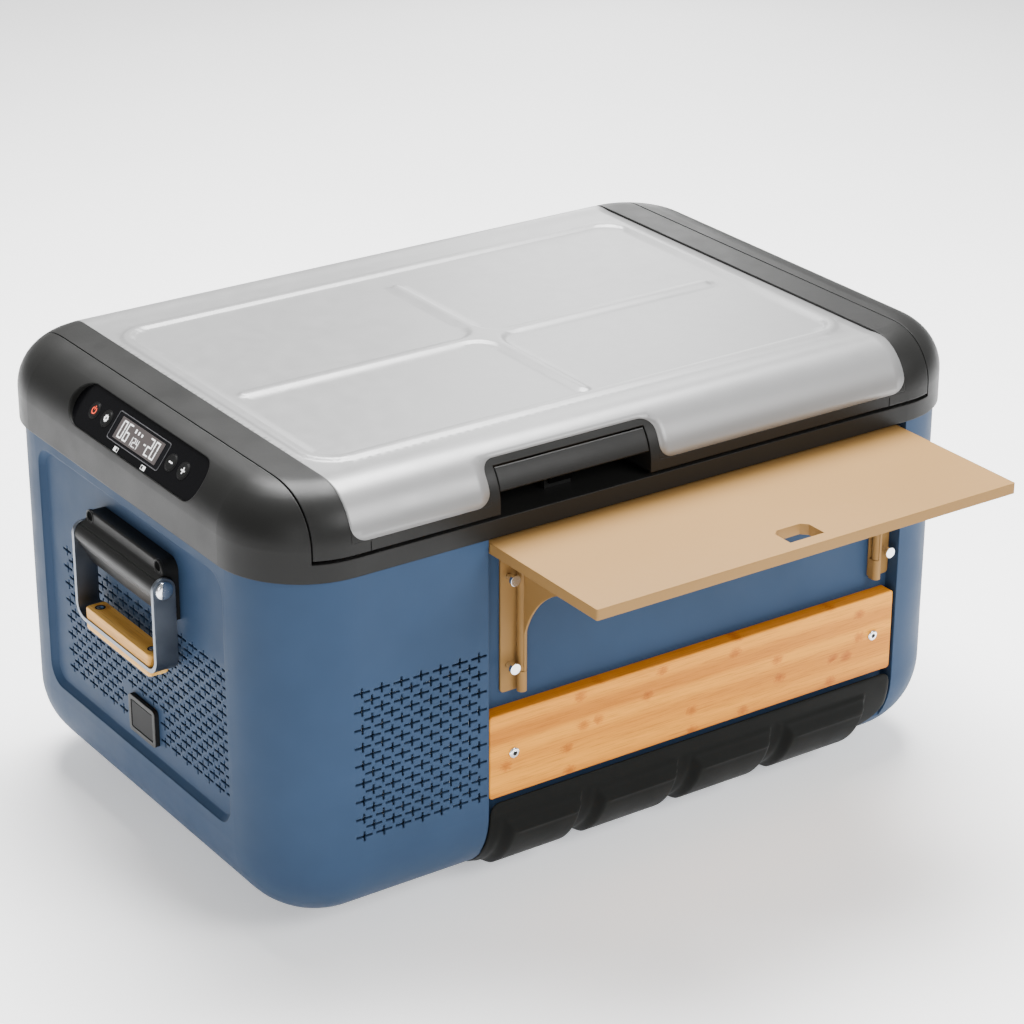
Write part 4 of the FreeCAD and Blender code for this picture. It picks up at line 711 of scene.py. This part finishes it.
def front_bumper():
    """The bumper's skin, from columns along it and rows down it, closed at its back and its edges."""
    corner, step, rows, thinnest, back_sunk = 9.0, 1.6, 46, 0.3, -0.4
    columns = []
    x = BUMPER_LEFT
    while x < BUMPER_RIGHT:
        columns.append(x)
        x += step
    columns.append(BUMPER_RIGHT)
    outer, inner = [], []
    for x in columns:
        inset = min(x - BUMPER_LEFT, BUMPER_RIGHT - x, corner)
        top = corner - math.sqrt(corner * corner - (corner - inset) ** 2)
        depth = bumper_depth(x)
        for k in range(rows + 1):
            w = top + (depth - top) * k / rows
            lip = smoothstep(-0.5, 2.2, min(w - top, depth - w, x - BUMPER_LEFT, BUMPER_RIGHT - x))
            outer.append(bumper_point(x, w, max(bumper_height(x, w) * lip, thinnest)))
            inner.append(bumper_point(x, w, back_sunk))
    count, wide = rows + 1, len(columns)
    back = len(outer)
    faces = []
    for i in range(wide - 1):
        for k in range(rows):
            a, b = i * count + k, (i + 1) * count + k
            faces += [(a, b, b + 1, a + 1), (back + a, back + a + 1, back + b + 1, back + b)]
        for k in (0, rows):
            a, b = i * count + k, (i + 1) * count + k
            faces.append((a, b, back + b, back + a))
    for k in range(rows):
        for i in (0, wide - 1):
            a = i * count + k
            faces.append((a, a + 1, back + a + 1, back + a))
    add_piece("bumper_pads", outer + inner, faces, BUMPER_PLASTIC, "cabinet", ["front_bumper"])


# ---------------------------------------------------------------- screws and handle brackets

WALL_FACE, BRACKET_THICK, BRACKET_MIDDLE = 331.0, 12.0, -11.0
BRACKET_FACE = WALL_FACE + BRACKET_THICK
BRACKET_HALF, BRACKET_CORNER, BRACKET_LOW, BRACKET_HIGH = 63.7, 10.0, 240.0, 291.0
EAR_OUT, EAR_Z, SMALL_SCREW_Z = 56.0, 285.5, 255.5
HANDLE_X, HANDLE_Z, BARREL = 346.0, 270.0, 9.2
GRIP_TOP, GRIP_LOW, GRIP_THICK, GRIP_THIN = 200.5, 197.0, 10.0, 5.6
GRIP_HALF, GRIP_WIDE, GRIP_SCREW = 53.7, 8.75, 44.0


def screws():
    """Button heads with a hexagon socket on the rail, the socket a flat dark hexagon of painted shade, and countersunk
    ones on the brackets, dark as painted shade of their recesses.
    """
    socket, rail_face, rail_middle = 2.1, SHELL_FRONT + 0.5, 129.5
    button = [(2.45, -4), (2.45, 0), (4.7, 0), (4.7, 0.9), (4.3, 1.6), (3.5, 2.0), (socket + 0.2, 2.15)]
    sunk = [(2.4, -4), (2.4, 0), (4.0, 0), (4.0, 1.0), (3.4, 1.2), (1.8, 1.2), (1.4, 0.6)]
    shape = Shape()
    for x in (-124.1, 242.5):
        at = plane((x, rail_face, rail_middle), ALONG, UPWARD, FORWARD)
        shape.turned(button, at, 0)
        # The socket is a flat dark hexagon on the head: painted shade.
        shape.extrude(circle(0, 0, socket, 6), at, 1.6, 2.2, slot=1)
    for side, _ in SIDES:
        for end in (-1, 1):
            ear = (side * BRACKET_FACE, BRACKET_MIDDLE + end * EAR_OUT, EAR_Z)
            # The bracket heads are dark: painted shade of their recesses.
            shape.turned(sunk, plane(ear, INWARD, UPWARD, (side, 0, 0)), 1)
    shape.piece("case_screw_heads", [MATERIALS["chrome"], SATIN_BLACK], "cabinet", "chrome", ["case_screws"])


def bracket_profile():
    """A bracket's outline from the side, as (distance from the wall, height)."""
    barrel_out, barrel_turns = HANDLE_X - WALL_FACE, [math.radians(50 - 12 * k) for k in range(9)]
    block = [(0, BRACKET_HIGH), (12.4, 290.6), (13.4, 289.4), (13.6, 282.0)]
    groove = [(14.6, 280.2), (18.6, 278.6), (18.9, 277.4), (20.2, 277.6)]
    barrel = [(barrel_out + BARREL * math.cos(turn), HANDLE_Z + BARREL * math.sin(turn)) for turn in barrel_turns]
    flange = [(20.6, 261.0), (18.4, 258.4), (9.4, 241.2), (7.8, BRACKET_LOW), (0, BRACKET_LOW)]
    return block + groove + barrel + flange


def screw_hole(shape, side, y, z, radius, out, lean):
    """A raised rim round a hole drawn as a flat near-black disc of painted shade, on a face that leans down by an
    angle.
    """
    up = (side * math.sin(lean), 0, math.cos(lean))
    normal = (side * math.cos(lean), 0, -math.sin(lean))
    at = plane((side * out, BRACKET_MIDDLE + y, z), INWARD, up, normal)
    rim = [(radius + 1.2, -2.0), (radius + 1.2, 0.45), (radius + 0.5, 0.75), (radius, 0.5), (radius - 0.2, 0.1)]
    shape.turned(rim, at, 0, 28)
    # The hole's bottom: a flat disc in painted shade.
    shape.turned([(radius - 0.2, 0.0), (radius - 0.2, 0.16), (radius - 0.9, 0.2)], at, 1, 28)


def bracket_covers():
    """Each handle bracket: a thick block, a groove, the barrel, a flange that slopes back, and four screw holes."""
    profile = bracket_profile()
    steps = [BRACKET_CORNER * (1 - math.cos(math.radians(9 * k))) for k in range(11)]
    stations = [step - BRACKET_HALF for step in steps] + [BRACKET_HALF - step for step in reversed(steps)]
    for side, word in SIDES:
        shape = Shape()
        section = plane((side * WALL_FACE, BRACKET_MIDDLE, 0), (side, 0, 0), UPWARD, INWARD)
        loops = []
        for y in stations:
            inset = max(abs(y) - BRACKET_HALF + BRACKET_CORNER, 0.0)
            drop = BRACKET_CORNER - math.sqrt(max(BRACKET_CORNER ** 2 - inset ** 2, 0.0))
            loops.append([section(out, min(z, BRACKET_HIGH - drop), y) for out, z in profile])
        shape.loft(loops)
        for end in (-1, 1):
            screw_hole(shape, side, end * EAR_OUT, EAR_Z, 4.6, BRACKET_FACE + 1.4, 0.0)
        for y, radius in ((-46, 3.2), (-54, 2.4)):
            screw_hole(shape, side, y * side, SMALL_SCREW_Z, radius, BRACKET_FACE + 2.6, 0.5)
        shape.piece(f"{word}_bracket_form", [MATERIALS["dark_plastic"], PAINTED_SHADE_BLACK], "cabinet", "dark_plastic",
                    [f"{word}_handle_bracket"])


def grips():
    """Each wooden grip: a thick half on the bar and a thin one under it, with two sunk chrome screws, each recess a
    flat dark ring of painted shade round the head.
    """
    eased = 1.3
    outline = rectangle(-GRIP_HALF, GRIP_HALF, -GRIP_WIDE, GRIP_WIDE, 3.0)
    hole = [(4.4, -0.5), (4.4, 0.1), (4.0, 0.14), (3.6, 0.08)]
    head = [(3.0, -0.4), (3.0, 0.14), (2.2, 0.5), (0.9, 0.66)]
    for side, word in SIDES:
        shape = Shape()
        above = plane((side * HANDLE_X, BRACKET_MIDDLE, GRIP_TOP), INWARD, ALONG, UPWARD)
        below = plane((side * HANDLE_X, BRACKET_MIDDLE, GRIP_LOW), INWARD, ALONG, DOWNWARD)
        shape.extrude(outline, above, 0.0, GRIP_THICK, eased)
        shape.extrude(outline, below, 0.0, GRIP_THIN, eased)
        shape.piece(f"{word}_grip_form", GRIP_WOOD_PAINTED_LIGHT, f"{word}_handle", "bamboo", [f"{word}_grip"])
        heads = Shape()
        for end in (-1, 1):
            spot = (side * HANDLE_X, BRACKET_MIDDLE + end * GRIP_SCREW, GRIP_TOP + GRIP_THICK)
            at = plane(spot, ALONG, INWARD, UPWARD)
            # A flat dark ring round the head: painted shade of the screw's recess.
            heads.turned(hole, at, 1)
            heads.turned(head, at, 0)
        heads.piece(f"{word}_grip_screw_heads", [MATERIALS["chrome"], SATIN_BLACK], f"{word}_handle", "chrome")


def pin_domes():
    """The domed heads of the pins that the bails swing on."""
    bail_half, stem, head = 67.7, 4.0, 7.6
    dome = [(stem, -17.0), (stem, 0.3), (head, 0.3), (head, 1.0), (7.1, 1.9), (5.4, 2.7), (3.0, 3.1), (1.0, 3.2)]
    shape = Shape()
    for side, _ in SIDES:
        for end in (-1, 1):
            spot = (side * HANDLE_X, BRACKET_MIDDLE + end * bail_half, HANDLE_Z)
            shape.turned(dome, plane(spot, ALONG, UPWARD, (0, end, 0)))
    shape.piece("bail_pin_domes", MATERIALS["chrome"], "cabinet", "chrome", ["bail_pins"], smooth=True)


def table_pads():
    """Rubber pads under the table's front corners."""
    table_low, pad_y = 307.5, -358.0
    shape = Shape()
    for x in (-134.0, 247.0):
        at = plane((x, pad_y, table_low), ALONG, INWARD, DOWNWARD)
        shape.turned([(4.5, -0.2), (4.5, 2.4), (3.9, 3.0), (1.0, 3.0)], at)
    shape.piece("table_corner_pads", MATERIALS["black_rubber"], "table", "black_rubber")


# ---------------------------------------------------------------- latch levers and the panel's recess

def lever_point(radius, degrees):
    """A place on the lid's shoulder, by its distance and angle from the shoulder's middle."""
    angle = math.radians(degrees)
    return FLAT_HALF + radius * math.cos(angle), LID_TOP - SHOULDER + radius * math.sin(angle)


def latch_levers():
    """Each lever has an outer band on the lid's curve and a second one that leads the fingers inwards."""
    outer, thick, left, right = SHOULDER - 0.4, 2.6, -137.0, 2.0
    barrel, barrel_radius = lever_point(SHOULDER - 4.6, 36), 3.2
    tongue_left, tongue_right = -78, -57
    skin = [lever_point(outer, 41 - 26 * k / 9) for k in range(10)]
    inside = [lever_point(outer - thick, 19 + 16 * k / 6) for k in range(7)]
    lead_in = [(227.6, 355.2), (213.0, 350.4), (212.4, 352.6)]
    blade = [(206.5, 341), (209, 341), (209, 366), (206.5, 366)]
    arm = [(206.5, 362), (217, 362), (219, 366), (206.5, 366)]
    for side, word in ((-1, "front"), (1, "rear")):
        at = plane((0, 0, 0), (0, side, 0), UPWARD, ALONG)
        shape = Shape()
        shape.extrude(skin + lead_in + inside, at, left, right)
        shape.extrude(circle(*barrel, barrel_radius, 18), at, left, right)
        # The blade and arm in the pocket under the lever are near-black: painted shade.
        shape.extrude(blade, at, tongue_left, tongue_right, slot=1)
        shape.extrude(arm, at, tongue_left, tongue_right, slot=1)
        shape.piece(f"{word}_latch_form", [MATERIALS["dark_plastic"], PAINTED_SHADE_BLACK], f"{word}_latch", "dark_plastic",
                    [f"{word}_latch_lever"])


FRAME_HALF, FRAME_CORNER = (341.0, 231.0), 75.0


def inside_frame(point):
    """Says if a point is within the upper frame's rounded outside."""
    dx, dy = (abs(point[n]) - FRAME_HALF[n] + FRAME_CORNER for n in (0, 1))
    wide = math.hypot(max(dx, 0), max(dy, 0)) + min(max(dx, dy), 0) - FRAME_CORNER
    above = point.z - LID_TOP + SHOULDER
    limit = SHOULDER - math.sqrt(max(SHOULDER * SHOULDER - above * above, 0)) if above > 0 else 0
    return wide < -limit - 0.15


def dial_recess():
    """The wall between the control panel's face and the frame's curved outside."""
    wall, slack, step, deepest, behind = 1.2, 0.1, 0.25, 24, -2
    outline = rectangle(-DIAL_HALF - slack, DIAL_HALF + slack, -DIAL_TALL - slack, DIAL_TALL + slack,
                        DIAL_TALL, 24)
    straight = DIAL_HALF - DIAL_TALL
    loops = []
    for u, v in outline:
        depth = 0.0
        while inside_frame(DIAL(u, v, depth + step)) and depth < deepest:
            depth += step
        centre = min(max(u, -straight), straight)
        away = Vector((u - centre, v)).normalized() * wall
        far_u, far_v = u + away.x, v + away.y
        loops.append([DIAL(u, v, behind), DIAL(u, v, depth),
                      DIAL(far_u, far_v, max(depth - 0.6, -1)), DIAL(far_u, far_v, behind)])
    shape = Shape()
    shape.loft(loops, closed=True)
    shape.piece("dial_recess_wall", MATERIALS["dark_plastic"], "cabinet", "dark_plastic", smooth=False)


lid_panel()
lid_fillers()
grips()
pin_domes()
table_pads()
latch_levers()
dial_recess()
control_panel()
front_bumper()
screws()
bracket_covers()
frame["nodes"]["socket_cover"].data.materials[0] = COVER_BLACK


# ---------------------------------------------------------------- floor, light and camera

FLOOR_HALF, FLOOR_GLOW, BACKDROP = 6.0, 0.5, 0.45
# Each softbox: name, place, target, size in metres, and power in watts.
SOFTBOXES = (
    ("top_softbox", (0.3, 0.5, 2.1), (0, 0, 0.2), (1.5, 1.2), 215),
    ("rear_softbox", (1.5, 1.9, 1.0), (0, 0, 0.3), (0.5, 1.4), 12),
    ("corner_softbox", (-1.9, -2.3, 1.0), (0, 0, 0.2), (0.5, 1.6), 20),
    ("front_softbox", (0.9, -2.6, 1.9), (0, 0, 0.2), (1.6, 1.2), 90),
)
CAMERA_AZIMUTH, CAMERA_ELEVATION, CAMERA_ROLL = -34.42, 24.337, 0.166
CAMERA_LENS, CAMERA_SENSOR, CAMERA_DISTANCE = 109.44, 36.0, 2.4
CAMERA_ANCHOR, AIM_RIGHT, AIM_UP = (-0.1478, -0.2293, 0.2003), 0.01781, 0.12953


def floor():
    """A plain pale floor that glows a little, as a lit studio sweep does."""
    s = Shader("studio_floor")
    sheen = s.noise(3, 2)
    base = s.ramp(sheen, "Fac", [(0.3, (0.9, 0.9, 0.9)), (0.7, (0.93, 0.93, 0.93))])
    s.link(base, "Color", s.surface, "Base Color")
    s.set(s.surface, Roughness=0.8, Emission_Color=(1, 1, 1, 1), Emission_Strength=FLOOR_GLOW)
    mesh = bpy.data.meshes.new("studio_floor")
    corners = [(-FLOOR_HALF, -FLOOR_HALF, 0), (FLOOR_HALF, -FLOOR_HALF, 0),
               (FLOOR_HALF, FLOOR_HALF, 0), (-FLOOR_HALF, FLOOR_HALF, 0)]
    mesh.from_pydata(corners, [], [(0, 1, 2, 3)])
    item = bpy.data.objects.new("studio_floor", mesh)
    bpy.context.scene.collection.objects.link(item)
    item.data.materials.append(s.material)


def area_light(name, place, target, size, power):
    lamp = bpy.data.lights.new(name, "AREA")
    lamp.shape = "RECTANGLE"
    lamp.size, lamp.size_y = size
    lamp.energy = power
    item = bpy.data.objects.new(name, lamp)
    bpy.context.scene.collection.objects.link(item)
    item.location = place
    item.rotation_euler = (Vector(target) - Vector(place)).to_track_quat("-Z", "Y").to_euler()


def lights():
    """A soft white surround and four softboxes."""
    world = bpy.data.worlds.new("studio")
    bpy.context.scene.world = world
    world.use_nodes = True
    backdrop = world.node_tree.nodes["Background"]
    backdrop.inputs["Color"].default_value = (1, 1, 1, 1)
    backdrop.inputs["Strength"].default_value = BACKDROP
    for softbox in SOFTBOXES:
        area_light(*softbox)


def camera():
    """A long lens that looks down on the front left corner."""
    lens = bpy.data.cameras.new("camera")
    lens.lens = CAMERA_LENS
    lens.sensor_width = CAMERA_SENSOR
    item = bpy.data.objects.new("camera", lens)
    bpy.context.scene.collection.objects.link(item)
    azimuth, elevation, roll = (math.radians(v) for v in (CAMERA_AZIMUTH, CAMERA_ELEVATION, CAMERA_ROLL))
    back = Vector((math.sin(azimuth) * math.cos(elevation), -math.cos(azimuth) * math.cos(elevation),
                   math.sin(elevation)))
    level = Vector((math.cos(azimuth), math.sin(azimuth), 0))
    upright = back.cross(level)
    right = level * math.cos(roll) + upright * math.sin(roll)
    up = upright * math.cos(roll) - level * math.sin(roll)
    aim = Vector(CAMERA_ANCHOR) + right * AIM_RIGHT + up * AIM_UP
    turn = Matrix((right, up, back)).transposed().to_4x4()
    item.matrix_world = Matrix.Translation(aim + back * CAMERA_DISTANCE) @ turn
    bpy.context.scene.camera = item


floor()
lights()
camera()
